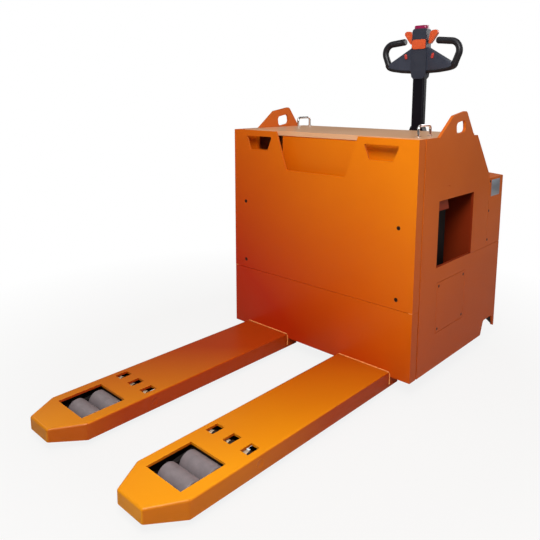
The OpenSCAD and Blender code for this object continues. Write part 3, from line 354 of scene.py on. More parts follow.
# %% A merged copy, and a bevel on it
def merged_copy(node):
    """A bmesh of the CAD node with its triangles joined and flat regions dissolved."""
    shell = bmesh.new()
    shell.from_mesh(nodes[node].data)
    bmesh.ops.remove_doubles(shell, verts=shell.verts, dist=2e-6)
    bmesh.ops.dissolve_limit(shell, angle_limit=math.radians(0.6), verts=shell.verts,
                             edges=shell.edges)
    return shell


def to_mesh(shell, name):
    """The bmesh as a new mesh, without the importer's own normals."""
    mesh = bpy.data.meshes.new(name)
    shell.to_mesh(mesh)
    shell.free()
    if "custom_normal" in mesh.attributes:
        mesh.attributes.remove(mesh.attributes["custom_normal"])
    return mesh


def even_normals(mesh):
    """Lets the large faces set the normals, so that flat plate shades flat up to its rounds."""
    return baked(mesh, [("WEIGHTED_NORMAL", dict(mode="FACE_AREA", weight=100, keep_sharp=True))])


def soften(node, material, radius=1.2, shell=None):
    """Replaces a CAD node by the same shape with rounded edges; radius in mm."""
    mesh = to_mesh(shell or merged_copy(node), node)
    mesh = baked(mesh, [("BEVEL", dict(width=radius * MM, segments=2,
                                       limit_method="ANGLE", angle_limit=math.radians(40),
                                       miter_outer="MITER_ARC"))])
    return piece(node + "_finished", even_normals(shade(mesh)), node, material)


# %% Body panels with rounded edges
def repaint(made, material, picked):
    """Gives a second material to the faces for which picked(face) is true."""
    made.data.materials.append(material)
    for face in made.data.polygons:
        if picked(face):
            face.material_index = len(made.data.materials) - 1


BORE_REACH, BORE_PLAY = 21, 0.3
WINDOW_Y, WINDOW_Z = (160, 470), (468, 738)


def mast():
    """The lift mast with its bearing bores a hair wider, so the turning shaft clears them."""
    joint = next(j for j in frame["joints"] if j["child"] == "torsion")
    axis = Vector(joint["pos_m"])
    shell = merged_copy("lift_mast")
    for vert in shell.verts:
        spoke = Vector((0, vert.co.y - axis.y, vert.co.z - axis.z))
        if spoke.length < BORE_REACH * MM:
            vert.co += spoke.normalized() * BORE_PLAY * MM
    return shell


def in_window(face):
    """True for the four narrow faces of a side plate's window."""
    y, z = (face.center.y - FACE_Y) / MM, face.center.z / MM
    return (abs(face.normal.x) < 0.5 and WINDOW_Y[0] < y < WINDOW_Y[1]
            and WINDOW_Z[0] < z < WINDOW_Z[1])


for node, material, radius in [
        ("side_plate_right", shaded_side_paint, 1.5), ("side_plate_left", shaded_side_paint, 1.5),
        ("access_cover_right", shaded_side_paint, 1.0), ("access_cover_left", shaded_side_paint, 1.0),
        ("rear_hood", shaded_side_paint, 2.0), ("rear_skirt", shaded_side_paint, 1.0),
        ("load_plate", face_paint, 1.6), ("load_panel", face_paint, 1.6),
        ("battery_lid", lid_paint, 1.4), ("instrument_panel", shaded_side_paint, 1.0),
        ("lift_mast", shaded_inner_paint, 1.2)]:
    made = soften(node, material, radius, shell=mast() if node == "lift_mast" else None)
    if node.startswith("side_plate"):
        # The window's narrow faces get the shaded inner paint: painted shade.
        repaint(made, shaded_inner_paint, in_window)
    if material is face_paint:
        # Side faces of the load plate and panel get the shaded side paint: painted shade.
        repaint(made, shaded_side_paint, lambda face: abs(face.normal.x) > 0.8)
    print(made.name, len(made.data.polygons), "faces")

# %% [markdown]
# ## Forks
# A fork is pressed from plate, so its top edges are round where the metal turned down. The
# window edges are only deburred. So the outer top edges are picked by where they lie and
# beveled first, and the general bevel comes after. Inside, the channel is painted black as
# painted shade: its faces are the ones that look towards the fork's own middle, back along
# the fork or down, and they get a second material.

# %% Forks with pressed edges
FORK_PLATE = 8
SOLE = 0.1
OUTER_EDGE, TIP_LENGTH = 0.117, 0.1065  # metres


def fork(node):
    """One fork: large rounds on its outline, small ones elsewhere, a black channel inside."""
    low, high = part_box(node)
    middle = (low.x + high.x) / 2
    shell = merged_copy(node)

    def on_outline(edge):
        mid = (edge.verts[0].co + edge.verts[1].co) / 2
        at_top = all(abs(v.co.z - high.z) < 1e-5 for v in edge.verts)
        wide = abs(mid.x - middle) > OUTER_EDGE or mid.y < low.y + TIP_LENGTH
        return at_top and wide and mid.y < FACE_Y - 0.001 and any(
            abs(f.normal.z) < 0.1 for f in edge.link_faces)

    rim = [edge for edge in shell.edges if on_outline(edge)]
    bmesh.ops.bevel(shell, geom=rim, offset=8 * MM, segments=5, profile=0.5, affect="EDGES")
    made = soften(node, fork_paint, 1.2, shell=shell)
    wall = (high.x - low.x) / 2 - 3 * MM

    # Faces inside the channel and underneath get the black: painted shade.
    def in_channel(face):
        off = face.center.x - middle
        if face.center.z > high.z - (FORK_PLATE + SOLE) * MM or face.center.y > FACE_Y - 0.02:
            return False
        inside = abs(off) < wall and (face.normal.x * off < -1e-4 or face.normal.y > 0.5)
        return inside or face.normal.z < -0.5

    repaint(made, painted_shade_black, in_channel)
    return made


for node in ("fork_right", "fork_left"):
    made = fork(node)
    inner = sum(face.material_index for face in made.data.polygons)
    print(made.name, len(made.data.polygons), "faces,", inner, "in the channel")

# %% [markdown]
# ## Black sheets in the forks
# Inside each fork thin black sheets are painted shade, where the channel lies in shadow: one
# across the channel behind the rollers, and strips along the walls and beside the pull rod.
# They are plain boxes a few millimetres thick.

# %% Sheets in each fork
FORK_MID = 258.5
SHADE_SHEETS = [((-73, -791, 27.7), (73, -789, 75.5)),
          ((-112, -960, 26.2), (-86, -665, 27.7)), ((86, -960, 26.2), (112, -665, 27.7)),
          ((-112, -665, 26.2), (-21, -555, 27.7)), ((21, -665, 26.2), (112, -555, 27.7)),
          ((-21, -641, 26.2), (-9.5, -555, 27.7)), ((9.5, -641, 26.2), (21, -555, 27.7))]
for side, s in (("right", 1), ("left", -1)):
    shell = bmesh.new()
    for low, high in SHADE_SHEETS:
        shift = Vector((s * FORK_MID, 0, 0))
        low, high = at(*(Vector(low) + shift)), at(*(Vector(high) + shift))
        bmesh.ops.create_cube(shell, size=1.0, matrix=Matrix.Translation((low + high) / 2)
                              @ Matrix.Diagonal((*(high - low), 1)))
    piece("fork_guard_" + side, to_mesh(shell, "guard"), "fork_" + side, painted_shade_black,
          replace=False)

# %% [markdown]
# ## Turned parts
# Rollers, wheels and buttons are turned shapes: a profile drawn once and swept round an axis.
# `lathe` takes the profile as (distance along the axis, radius) pairs in millimetres and
# closes it where a radius is zero.

# %% A lathe
def lathe(name, profile, centre, axis, steps=64):
    """A turned mesh. centre is a place in metres, axis the direction it is turned about."""
    turn = Vector((0, 0, 1)).rotation_difference(Vector(axis)).to_matrix()
    shell = bmesh.new()
    rings = []
    for along, radius in profile:
        count = 1 if radius == 0 else steps
        ring = []
        for i in range(count):
            a = math.tau * i / steps
            spot = Vector((radius * math.cos(a), radius * math.sin(a), along)) * MM
            ring.append(shell.verts.new(turn @ spot + Vector(centre)))
        rings.append(ring)
    for one, two in zip(rings, rings[1:]):
        for i in range(steps):
            j = (i + 1) % steps
            corners = [one[i % len(one)], one[j % len(one)], two[j % len(two)],
                       two[i % len(two)]]
            corners = list(dict.fromkeys(corners))
            if len(corners) > 2:
                shell.faces.new(corners)
    if rings[0] is not rings[-1] and len(rings[0]) > 1:
        for i in range(steps):
            j = (i + 1) % steps
            shell.faces.new([rings[-1][i], rings[-1][j], rings[0][j], rings[0][i]])
    bmesh.ops.recalc_face_normals(shell, faces=shell.faces)
    return shade(to_mesh(shell, name), 30)


# %% [markdown]
# ## Load rollers
# Each roller is a grey polyurethane sleeve on a steel core with red-brown seal caps at its
# ends. The sleeve's edges are rounded where it rolls against concrete, with two faint
# mould lines. The caps are a second material on the same turned mesh.

# %% Load rollers
SLEEVE_SHORT = 2


def centre_of(node):
    """The middle of a CAD node's box, in metres."""
    low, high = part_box(node)
    return (low + high) / 2


def two_tone(mesh, outer, inner, centre, reach):
    """One material on a turned mesh, and another within reach of its axle; reach in mm."""
    mesh.materials.append(outer)
    mesh.materials.append(inner)
    for face in mesh.polygons:
        spot = face.center - centre
        if math.hypot(spot.y, spot.z) < reach * MM:
            face.material_index = 1


def roller(node):
    """A roller between the ends of its CAD box, bored for its axle."""
    low, high = box_mm(node)
    half, radius = (high.x - low.x) / 2 - SLEEVE_SHORT, (high.z - low.z) / 2
    bore = 10.05
    profile = [(-half, bore), (-half, 15), (-half + 1.2, 16), (-half + 1.2, radius - 10),
               (-half, radius - 9), (-half, radius - 7.5), (-half + 1.5, radius - 5.5),
               (-half + 2.4, radius - 2.2), (-half + 5, radius - 0.3), (-half + 8, radius)]
    sleeve = [(-half * 0.34, radius), (-half * 0.34 + 0.6, radius - 0.35),
              (-half * 0.34 + 1.2, radius)]
    whole = profile + sleeve + [(-a, r) for a, r in reversed(profile + sleeve)]
    mesh = lathe(node, whole, centre_of(node), (1, 0, 0), 72)
    two_tone(mesh, roller_pu, roller_core, centre_of(node), radius - 5.2)
    return piece(node + "_turned", mesh, node)


for node in ("front_roller_right", "rear_roller_right", "front_roller_left", "rear_roller_left"):
    print(roller(node).name)

# %% [markdown]
# ## Drive wheel and stabilisers
# The drive wheel is a red-brown polyurethane tread bonded to a cast hub, and the stabiliser
# wheels are small rubber tyres on plastic centres. Both are turned the same way.

# %% Drive tyre, hub and stabiliser wheels
CROWN = 2.0


def tyre(node, material, bore_r, groove_at):
    """A tread with rounded shoulders, a light crown and grooves at the given places."""
    low, high = box_mm(node)
    half, radius = (high.x - low.x) / 2, (high.z - low.z) / 2
    side = [(-half + 3, bore_r), (-half + 0.6, bore_r + 5), (-half, radius - 9),
            (-half + 1.6, radius - 4), (-half + 5, radius - CROWN * 0.6),
            (-half + 9, radius - CROWN * 0.3)]
    band = []
    for spot in groove_at:
        band += [(spot - 1.6, radius), (spot - 0.9, radius - 1.8), (spot + 0.9, radius - 1.8),
                 (spot + 1.6, radius)]
    whole = side + band + [(-a, r) for a, r in reversed(side)]
    return piece(node + "_turned", lathe(node, whole, centre_of(node), (1, 0, 0), 96), node,
                 material)


tyre("drive_tyre", drive_pu, 93.0, (-18, 0, 18))
soften("drive_hub", cast_black, 1.5)
for side in ("right", "left"):
    wheel = "caster_wheel_" + side
    low, high = box_mm(wheel)
    half, radius = (high.x - low.x) / 2, (high.z - low.z) / 2
    flank = [(-half, 6.05), (-half, 14), (-half + 2, 15), (-half + 4.5, 19), (-half + 4.5, 30),
             (-half + 1.5, 34), (-half + 0.3, 37), (-half, radius - 8), (-half + 1, radius - 4),
             (-half + 4, radius - 1), (-half + 8, radius)]
    mesh = lathe(wheel, flank + [(-a, r) for a, r in reversed(flank)], centre_of(wheel), (1, 0, 0))
    two_tone(mesh, caster_rubber, black_plastic, centre_of(wheel), 33)
    print(piece(wheel + "_turned", mesh, wheel).name)

# %% [markdown]
# ## Linkage, drive unit and casters
# These are machined, cast or bent from bar. Their shapes are right in the CAD, so they only
# need their edges broken and their own metal; the roller arms and bogies are black as painted
# shade.

# %% Softened steelwork
for node, material, radius in [
        ("roller_arm_right", painted_shade_black, 0.8), ("roller_arm_left", painted_shade_black, 0.8),
        ("bogie_right", painted_shade_black, 0.8), ("bogie_left", painted_shade_black, 0.8),
        ("drive_gearbox", cast_black, 2.5), ("steering_turret", cast_black, 2.0),
        ("caster_fork_right", zinc_steel, 1.0), ("caster_fork_left", zinc_steel, 1.0),
        ("tiller_tube", tube_enamel, 1.2), ("hydraulic_tank", cast_black, 4.0)]:
    made = soften(node, material, radius)
    print(made.name, len(made.data.polygons), "faces")

# %% [markdown]
# ## CAD nodes that keep their shape
# The rest of the CAD nodes already have the right shape: pins, rods, rings and frames. Their
# meshes are left as they are and only their material slots are filled.

# %% Finishes for the remaining nodes
kept = {
    "chassis_frame": shaded_inner_paint, "upper_bulkhead": face_paint, "lid_hinges": zinc_steel,
    "turntable_ring": cast_black, "lift_cylinder": tube_enamel, "lift_rod": chrome,
    "arm_shafts": worn_brass, "torsion_shaft": dark_steel, "pull_rod_right": dark_steel,
    "pull_rod_left": dark_steel, "lid_handles": chrome}


def recoat(node, material):
    """Fills every material slot of a CAD node."""
    target = nodes[node]
    if not target.material_slots:
        target.data.materials.append(material)
    for slot in target.material_slots:
        slot.material = material


for node, material in kept.items():
    recoat(node, material)
print("kept:", len(kept), "nodes")

# %% [markdown]
# ## Screw heads and other repeated things
# A screw is modelled once and set out by Geometry Nodes. The points carry a direction in an
# attribute named facing, so one tree can set screws on walls, lids and flanges alike. Every
# head is turned by its own random angle, because no two screws stop at the same angle, and
# the seed is fixed so that each run gives the same ones.

# %% A geometry tree with named inputs
def new_tree(name, inputs):
    """A geometry tree with a Geometry input and output, and more inputs as (name, type)."""
    tree = bpy.data.node_groups.new(name, "GeometryNodeTree")
    tree.interface.new_socket("Geometry", in_out="INPUT", socket_type="NodeSocketGeometry")
    for label, kind in inputs:
        tree.interface.new_socket(label, in_out="INPUT", socket_type="NodeSocket" + kind)
    tree.interface.new_socket("Geometry", in_out="OUTPUT", socket_type="NodeSocketGeometry")
    return tree, put(tree, "NodeGroupInput").outputs


def end_tree(tree, geometry, finish_socket):
    """Realizes the instances, sets the material and ends the tree."""
    real = put(tree, "GeometryNodeRealizeInstances", {"Geometry": geometry})
    coated = put(tree, "GeometryNodeSetMaterial", {"Geometry": real.outputs[0],
                                                   "Material": finish_socket})
    put(tree, "NodeGroupOutput", {"Geometry": coated.outputs[0]})
    return tree


def grow(name, tree, mesh, values, node, replace=False, angle=36):
    """Runs a geometry tree on a mesh and ends it as a plain piece."""
    holder = bpy.data.objects.new(name + "_holder", mesh)
    scene.collection.objects.link(holder)
    grower = holder.modifiers.new("Grow", "NODES")
    grower.node_group = tree
    sockets = {item.name: item.identifier for item in tree.interface.items_tree
               if item.in_out == "INPUT"}
    for label, value in values.items():
        grower[sockets[label]] = value
    graph = bpy.context.evaluated_depsgraph_get()
    result = bpy.data.meshes.new_from_object(holder.evaluated_get(graph))
    holder.modifiers.remove(grower)
    bpy.data.objects.remove(holder)
    return piece(name, shade(result, angle), node, replace=replace)


def by_facing(tree):
    """The rotation that turns Z along each point's attribute named facing."""
    facing = put(tree, "GeometryNodeInputNamedAttribute", {"Name": "facing"},
                 data_type="FLOAT_VECTOR")
    return put(tree, "FunctionNodeAlignRotationToVector", {"Vector": facing.outputs[0]},
               axis="Z").outputs[0]


def facing_points(name, spots):
    """A mesh of bare points from (place, direction) pairs, in metres."""
    mesh = bpy.data.meshes.new(name)
    mesh.from_pydata([place for place, way in spots], [], [])
    arrow = mesh.attributes.new("facing", "FLOAT_VECTOR", "POINT")
    arrow.data.foreach_set("vector", [c for place, way in spots for c in way])
    return mesh


# %% The tree that sets out fasteners
scatter, given = new_tree("Set out fasteners", [("Head", "Object"), ("Size", "Float"),
                                                ("Seed", "Int"), ("Finish", "Material")])
spots = put(scatter, "GeometryNodeMeshToPoints", {"Mesh": given["Geometry"]})
aimed = by_facing(scatter)
chance = put(scatter, "FunctionNodeRandomValue", {"Seed": given["Seed"]}, data_type="FLOAT")
spin = put(scatter, "ShaderNodeMath", {0: chance.outputs["Value"], 1: math.tau},
           operation="MULTIPLY")
turned = put(scatter, "FunctionNodeAxisAngleToRotation", {"Angle": spin.outputs[0]})
rotation = put(scatter, "FunctionNodeRotateRotation",
               {"Rotation": aimed, "Rotate By": turned.outputs[0]},
               rotation_space="LOCAL")
head_shape = put(scatter, "GeometryNodeObjectInfo", {"Object": given["Head"]})
placed = put(scatter, "GeometryNodeInstanceOnPoints",
             {"Points": spots.outputs[0], "Instance": head_shape.outputs["Geometry"],
              "Rotation": rotation.outputs[0], "Scale": given["Size"]})
end_tree(scatter, placed.outputs[0], given["Finish"])
print("tree:", scatter.name, len(scatter.nodes), "nodes")

# %% [markdown]
# ## The fasteners themselves
# Two heads are enough: a countersunk screw with a hexagon socket, for the panels, and a
# hexagon head on a washer, for castings. They are drawn with a radius of one millimetre, so
# the Size input is simply the radius of the head.

# %% Countersunk socket screw and hexagon bolt
CORNERS = 24


def ring(shell, radius, z, sides=None):
    """A loop of vertices on a circle, or on a polygon with that many sides."""
    loop = []
    for i in range(CORNERS):
        a = math.tau * i / CORNERS
        reach = radius
        if sides:
            wedge = math.tau / sides
            reach = radius * math.cos(wedge / 2) / math.cos(a % wedge - wedge / 2)
        loop.append(shell.verts.new((reach * math.cos(a) * MM, reach * math.sin(a) * MM, z * MM)))
    return loop


def loft(name, rings):
    """A closed mesh from (radius, z, sides) loops, capped at both ends."""
    shell = bmesh.new()
    loops = [ring(shell, r, z, sides=s) for r, z, s in rings]
    for one, two in zip(loops, loops[1:]):
        for i in range(CORNERS):
            j = (i + 1) % CORNERS
            shell.faces.new([one[i], one[j], two[j], two[i]])
    shell.faces.new(loops[0])
    shell.faces.new(loops[-1])
    bmesh.ops.recalc_face_normals(shell, faces=shell.faces)
    return bpy.data.objects.new(name, to_mesh(shell, name))


socket_screw = loft("socket_screw", [(0.5, -2.2, None), (0.5, -0.5, None), (0.97, -0.06, None),
                                     (0.97, -0.01, None), (0.93, 0.0, None), (0.56, 0.0, None),
                                     (0.5, -0.06, 6), (0.5, -0.42, 6)])
hex_bolt = loft("hex_bolt", [(0.45, -0.6, None), (0.45, 0.0, None), (1.3, 0.0, None),
                             (1.3, 0.16, None), (1.22, 0.22, None), (0.98, 0.22, 6),
                             (1.0, 0.26, 6), (1.0, 0.80, 6), (0.90, 0.88, 6), (0.80, 0.9, None)])


def fasteners(name, spots, head, size, finish_with, node, seed, replace=False):
    """Sets heads at (place, direction) pairs in metres; size is the head's radius in mm."""
    mesh = facing_points(name, spots)
    made = grow(name, scatter, mesh, {"Head": head, "Size": size, "Seed": seed,
                                      "Finish": finish_with}, node, replace, 30)
    print(name + ":", len(spots))
    return made


# %% [markdown]
# ## Where the screws are
# The CAD's own screws say where the heads go. A node with many solids is split into islands
# of joined triangles, and each island's box gives one screw's place.

# %% Panel and cover screws
def islands(node):
    """The box of each separate solid in a CAD node, in metres."""
    shell = merged_copy(node)
    left, boxes = set(shell.verts), []
    while left:
        todo, seen = [left.pop()], []
        while todo:
            one = todo.pop()
            seen.append(one.co.copy())
            for edge in one.link_edges:
                other = edge.other_vert(one)
                if other in left:
                    left.remove(other)
                    todo.append(other)
        boxes.append((Vector(map(min, zip(*seen))), Vector(map(max, zip(*seen)))))
    shell.free()
    return sorted(boxes, key=lambda b: tuple(b[0]))


cover_spots, head_radius = [], 0
for low, high in islands("cover_screws"):
    mid = (low + high) / 2
    outward = 1 if mid.x > 0 else -1
    head_radius = (high.z - low.z) / 2 / MM
    cover_spots.append((Vector((high.x if mid.x > 0 else low.x, mid.y, mid.z)), (outward, 0, 0)))
fasteners("cover_screw_set", cover_spots, socket_screw, head_radius, screw_steel,
          "cover_screws", 3, replace=True)
panel_spots = [(Vector(((low.x + high.x) / 2, low.y, (low.z + high.z) / 2)), (0, -1, 0))
               for low, high in islands("load_panel_screws")]
fasteners("load_panel_screw_set", panel_spots, socket_screw, 8.0, screw_steel,
          "load_panel_screws", 5, replace=True)

# %% Bolts on the castings
def bolt_circle(centre, radius, count, way, start=0.0):
    """Places on a circle round centre, in the plane across way; radius in mm."""
    turn = Vector((0, 0, 1)).rotation_difference(Vector(way)).to_matrix()
    spots = []
    for i in range(count):
        a = start + math.tau * i / count
        spots.append((centre + turn @ Vector((radius * math.cos(a), radius * math.sin(a), 0)) * MM,
                      way))
    return spots


hub_mid = centre_of("drive_hub")
gear_face = Vector((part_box("drive_gearbox")[1].x, hub_mid.y, hub_mid.z))
hub_face = Vector((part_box("drive_hub")[0].x + 9 * MM, hub_mid.y, hub_mid.z))
casting_spots = bolt_circle(gear_face, 58, 8, (1, 0, 0), 0.2)
fasteners("gearbox_bolts", casting_spots, hex_bolt, 5.0, zinc_steel, "drive_gearbox", 7)
fasteners("hub_bolts", bolt_circle(hub_face, 50, 5, (-1, 0, 0)), hex_bolt, 6.0, zinc_steel,
          "drive_hub", 9)

# %% [markdown]
# ## Welds
# The forks are welded to the load plate and the panel's seam is tacked at its end. A weld is
# a row of overlapping ripples, so it is grown along a path: the path is cut into short,
# equal steps and each step gets a flattened bead that is a little different from the last.

# %% Points along a path
def along_path(tree, given, axis):
    """Points every Step along the path, and the rotation that turns axis along it."""
    path = put(tree, "GeometryNodeMeshToCurve", {"Mesh": given["Geometry"]})
    paced = put(tree, "GeometryNodeResampleCurve", {"Curve": path.outputs[0],
                                                    "Length": given["Step"]}, mode="LENGTH")
    way = put(tree, "GeometryNodeInputTangent")
    aimed = put(tree, "FunctionNodeAlignRotationToVector", {"Vector": way.outputs[0]},
                axis=axis)
    return paced.outputs[0], aimed.outputs[0]


# %% The tree that lays a weld
weld_tree, given = new_tree("Lay a weld", [("Step", "Float"), ("Width", "Float"),
                                           ("Seed", "Int"), ("Finish", "Material")])
paced, aimed = along_path(weld_tree, given, "X")
drop = put(weld_tree, "GeometryNodeMeshIcoSphere", {"Radius": 0.5, "Subdivisions": 2})
ripple = put(weld_tree, "GeometryNodeTransform", {"Geometry": drop.outputs[0],
                                                  "Scale": (0.9, 1.15, 0.75)})
uneven = put(weld_tree, "FunctionNodeRandomValue", {2: 0.82, 3: 1.14, "Seed": given["Seed"]},
             data_type="FLOAT")
sized = put(weld_tree, "ShaderNodeMath", {0: uneven.outputs[1], 1: given["Width"]},
            operation="MULTIPLY")
laid = put(weld_tree, "GeometryNodeInstanceOnPoints",
           {"Points": paced, "Instance": ripple.outputs[0], "Rotation": aimed,
            "Scale": sized.outputs[0]})
end_tree(weld_tree, laid.outputs[0], given["Finish"])


def weld(name, lines, width, node, seed):
    """Beads along polylines of places in metres; width in mm."""
    places, edges = [], []
    for line in lines:
        start = len(places)
        places += line
        edges += [(start + i, start + i + 1) for i in range(len(line) - 1)]
    mesh = bpy.data.meshes.new(name)
    mesh.from_pydata(places, edges, [])
    made = grow(name, weld_tree, mesh, {"Step": width * 0.42 * MM, "Width": width * MM,
                                        "Seed": seed, "Finish": weld_paint}, node, angle=80)
    print(name + ":", len(made.data.polygons), "faces")
    return made


# %% Welds at the fork roots and the seam
for seed, side in ((21, "right"), (22, "left")):
    low, high = box_mm("fork_" + side)
    edge = 6
    root = [at(low.x - 1.0, -1.2, high.z - 46), at(low.x - 1.0, -1.2, high.z - 7),
            at(low.x + edge, -1.2, high.z + 1.0), at(high.x - edge, -1.2, high.z + 1.0),
            at(high.x + 1.0, -1.2, high.z - 7), at(high.x + 1.0, -1.2, high.z - 46)]
    weld("fork_weld_" + side, [root], 5.0, "fork_" + side, seed)
seam_z = box_mm("load_plate")[1].z
half_width = box_mm("load_plate")[1].x
tacks = [[at(s * (half_width - inset), 0.6, seam_z + 0.8) for inset in (14, 2)]
         for s in (1, -1)]
weld("seam_tacks", tacks, 4.0, "load_plate", 23)

# %% [markdown]
# ## Small parts on the body
# The blank plate on the hood is a thin sheet with round corners and four rivets. The shaft
# of each roller arm ends in a painted plug on the fork's flank, which shows as a round line.

# %% Blank plate, rivets and shaft plugs
def slab(name, outline, low, high, axis, round_mm=1.0, steps=2):
    """A plate with the outline [(u, v), ...] in mm, from low to high along axis X, Y or Z."""
    order = {"X": lambda u, v, w: at(w, u, v), "Y": lambda u, v, w: at(u, w, v),
             "Z": lambda u, v, w: at(u, v, w)}[axis]
    shell = bmesh.new()
    loops = [[shell.verts.new(order(u, v, w)) for u, v in outline] for w in (low, high)]
    caps = [shell.faces.new(loops[0]), shell.faces.new(loops[1])]
    count = len(outline)
    for i in range(count):
        j = (i + 1) % count
        shell.faces.new([loops[0][i], loops[0][j], loops[1][j], loops[1][i]])
    if round_mm:
        rims = list({edge for cap in caps for edge in cap.edges})
        bmesh.ops.bevel(shell, geom=rims, offset=round_mm * MM, segments=steps, profile=0.5,
                        affect="EDGES", clamp_overlap=True)
    bmesh.ops.recalc_face_normals(shell, faces=shell.faces)
    return to_mesh(shell, name)


def round_corners(points, radii, steps=6):
    """The outline with each corner rounded by its radius, in mm."""
    result, count = [], len(points)
    for i, radius in enumerate(radii):
        here = Vector(points[i])
        back, ahead = (Vector(points[i - 1]) - here), (Vector(points[(i + 1) % count]) - here)
        if radius <= 0:
            result.append(tuple(here))
            continue
        half = back.angle(ahead) / 2
        u, v = back.normalized(), ahead.normalized()
        middle = here + (u + v).normalized() * radius / math.sin(half)
        start = here + u * radius / math.tan(half) - middle
        stop = here + v * radius / math.tan(half) - middle
        for k in range(steps + 1):
            spoke = start.lerp(stop, k / steps)
            result.append(tuple(middle + spoke.normalized() * radius))
    return result


def rectangle(u0, v0, u1, v1, radius):
    return round_corners([(u0, v0), (u1, v0), (u1, v1), (u0, v1)], [radius] * 4)


low, high = box_mm("blank_plate")
sheet = slab("blank_plate", rectangle(low.y, low.z, high.y, high.z, 5), low.x, high.x, "X", 0.3)
piece("blank_plate_sheet", shade(sheet), "blank_plate", plate_alloy)
rivet = loft("rivet", [(0.5, -1.4, None), (0.5, 0, None), (1.0, 0.0, None), (0.97, 0.2, None),
                       (0.75, 0.4, None), (0.3, 0.5, None)])
inset = 6
rivet_spots = [(at(high.x - 1.2, y, z), (1, 0, 0)) for y in (low.y + inset, high.y - inset)
               for z in (low.z + inset, high.z - inset)]
fasteners("plate_rivets", rivet_spots, rivet, 2.4, fin_alloy, "rear_hood", 11)
for side in ("right", "left"):
    shaft_mid = [box for box in islands("arm_shafts") if (box[0].x > 0) == (side == "right")][0]
    mid = (shaft_mid[0] + shaft_mid[1]) / 2
    low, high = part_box("fork_" + side)
    for outer in (low.x, high.x):
        away = 1 if outer == high.x else -1
        spot = Vector((outer, mid.y, mid.z))
        plug = lathe("plug", [(-1, 0), (-1, 15.6), (0.35, 15.6), (0.7, 15.0), (0.5, 14.0),
                              (0.1, 13.2), (0.1, 0)], spot, (away, 0, 0), 48)
        end = "outer" if outer * mid.x > 0 and abs(outer) > abs(mid.x) else "inner"
        piece(f"shaft_plug_{side}_{end}", plug, "fork_" + side, fork_paint, replace=False)
print("plugs and plate made")

# %% [markdown]
# ## Shade in the wheel arches
# A small black triangle in the rear corner of each wheel arch, just inside the side plate, is
# painted shade where the corner lies in shadow. It is flat, so an outline with a thickness is
# enough.

# %% Black painted-shade triangles in the rear corners of the wheel arches
gusset = [(690, 118), (730, 125), (763, 67)]
for side, s in (("right", 1), ("left", -1)):
    corner = slab("gusset", gusset, s * 452, s * 456, "X", 0.4)
    piece("arch_gusset_" + side, shade(corner, 30), "side_plate_" + side, painted_shade_black,
          replace=False)
print("gussets:", gusset)

# %% [markdown]
# ## Tiller head
# The head is one moulding with a tall middle and two wings, and each moulded edge is round.
# The middle and the wings are drawn as outlines, given thickness and rounded. The pockets
# for the buttons are cut last with a Boolean, so their rims stay crisp and the buttons have
# room to move in.

# %% Outlines of the head
head_low, head_high = box_mm("tiller_head")
base_z = head_low.z
mid_y = (head_low.y + head_high.y) / 2
WING_DEPTH = 17
LEVER_RISE = 178
ROCKER_TILT = math.radians(12)
RIM_FLATTEN = 1.68


def lift(points):
    """Outline points measured from the underside of the head."""
    return [(x, z + base_z) for x, z in points]


tower = lift(round_corners([(-33, 0), (33, 0), (41, 40), (41, 110), (37, 238), (-37, 238),
                            (-41, 110), (-41, 40)], [9, 9, 16, 60, 6, 6, 60, 16]))
wing = [(37.5, 34), (60, 36), (140, 44), (174, 60), (162, 79), (140, 91), (41, 149),
        (37.5, 151)]
rim = [(178, 68), (177, 54), (150, 47), (100, 40), (34, 36)]


def flip(points):
    return [(-x, z) for x, z in points]


def cut(mesh, boxes):
    """The mesh with boxes taken out; a box is (centre, size, tilt about Y) in mm."""
    blocks = []
    for centre, size, tilt in boxes:
        shell = bmesh.new()
        bmesh.ops.create_cube(shell, size=1.0)
        place = Matrix.Translation(at(*centre)) @ Matrix.Rotation(tilt, 4, "Y")
        bmesh.ops.transform(shell, verts=shell.verts,
                            matrix=place @ Matrix.Diagonal((*[s * MM for s in size], 1)))
        block = bpy.data.objects.new("block", to_mesh(shell, "block"))
        scene.collection.objects.link(block)
        blocks.append(block)
    result = baked(mesh, [("BOOLEAN", dict(operation="DIFFERENCE", solver="EXACT", object=b))
                          for b in blocks])
    for block in blocks:
        bpy.data.objects.remove(block)
    return result


# %% The head with its pockets
horn_low, horn_high = box_mm("horn_button")
cap_low, cap_high = box_mm("belly_button")
play = 1.2
pockets = [((0, horn_low.y, (horn_low.z + horn_high.z) / 2),
            (horn_high.x - horn_low.x + play, 26.5, horn_high.z - horn_low.z + play), 0),
           ((0, mid_y, cap_low.z + 4),
            (cap_high.x - cap_low.x + play, cap_high.y - cap_low.y + play, 44), 0)]
pockets += [((s * 31.5, mid_y, base_z + LEVER_RISE), (28, 11, 11), 0) for s in (1, -1)]
body = cut(slab("tiller_head", tower, head_low.y, head_high.y, "Y", 7.0, 5), pockets)
piece("tiller_head_body", even_normals(shade(body, 30)), "tiller_head", head_plastic)
rocker_spots = {"right": box_mm("lift_button"), "left": box_mm("lower_button")}
for side, s in (("right", 1), ("left", -1)):
    outline = wing if s > 0 else flip(wing)[::-1]
    web = slab("wing", lift(outline), mid_y - WING_DEPTH, mid_y + WING_DEPTH, "Y", 5.0, 4)
    low, high = rocker_spots[side]
    spot = (low + high) / 2
    web = cut(web, [((spot.x, mid_y - WING_DEPTH, spot.z), (14.2, 18, 27.2),
                     s * ROCKER_TILT)])
    piece("tiller_wing_" + side, even_normals(shade(web, 30)), "tiller_head", wing_plastic,
          replace=False)
print("head made")

# %% [markdown]
# ## Loop grips
# Each grip is a rubber sleeve over a bent bar, and the same bar runs on under the wing as a
# flattened rim. Both follow a route, so one function sweeps a round section along it. The
# sleeve has a rolled lip where it ends near the thumb lever, and narrow ribs run round its
# straight stretch; the ribs are set out along the route by Geometry Nodes.

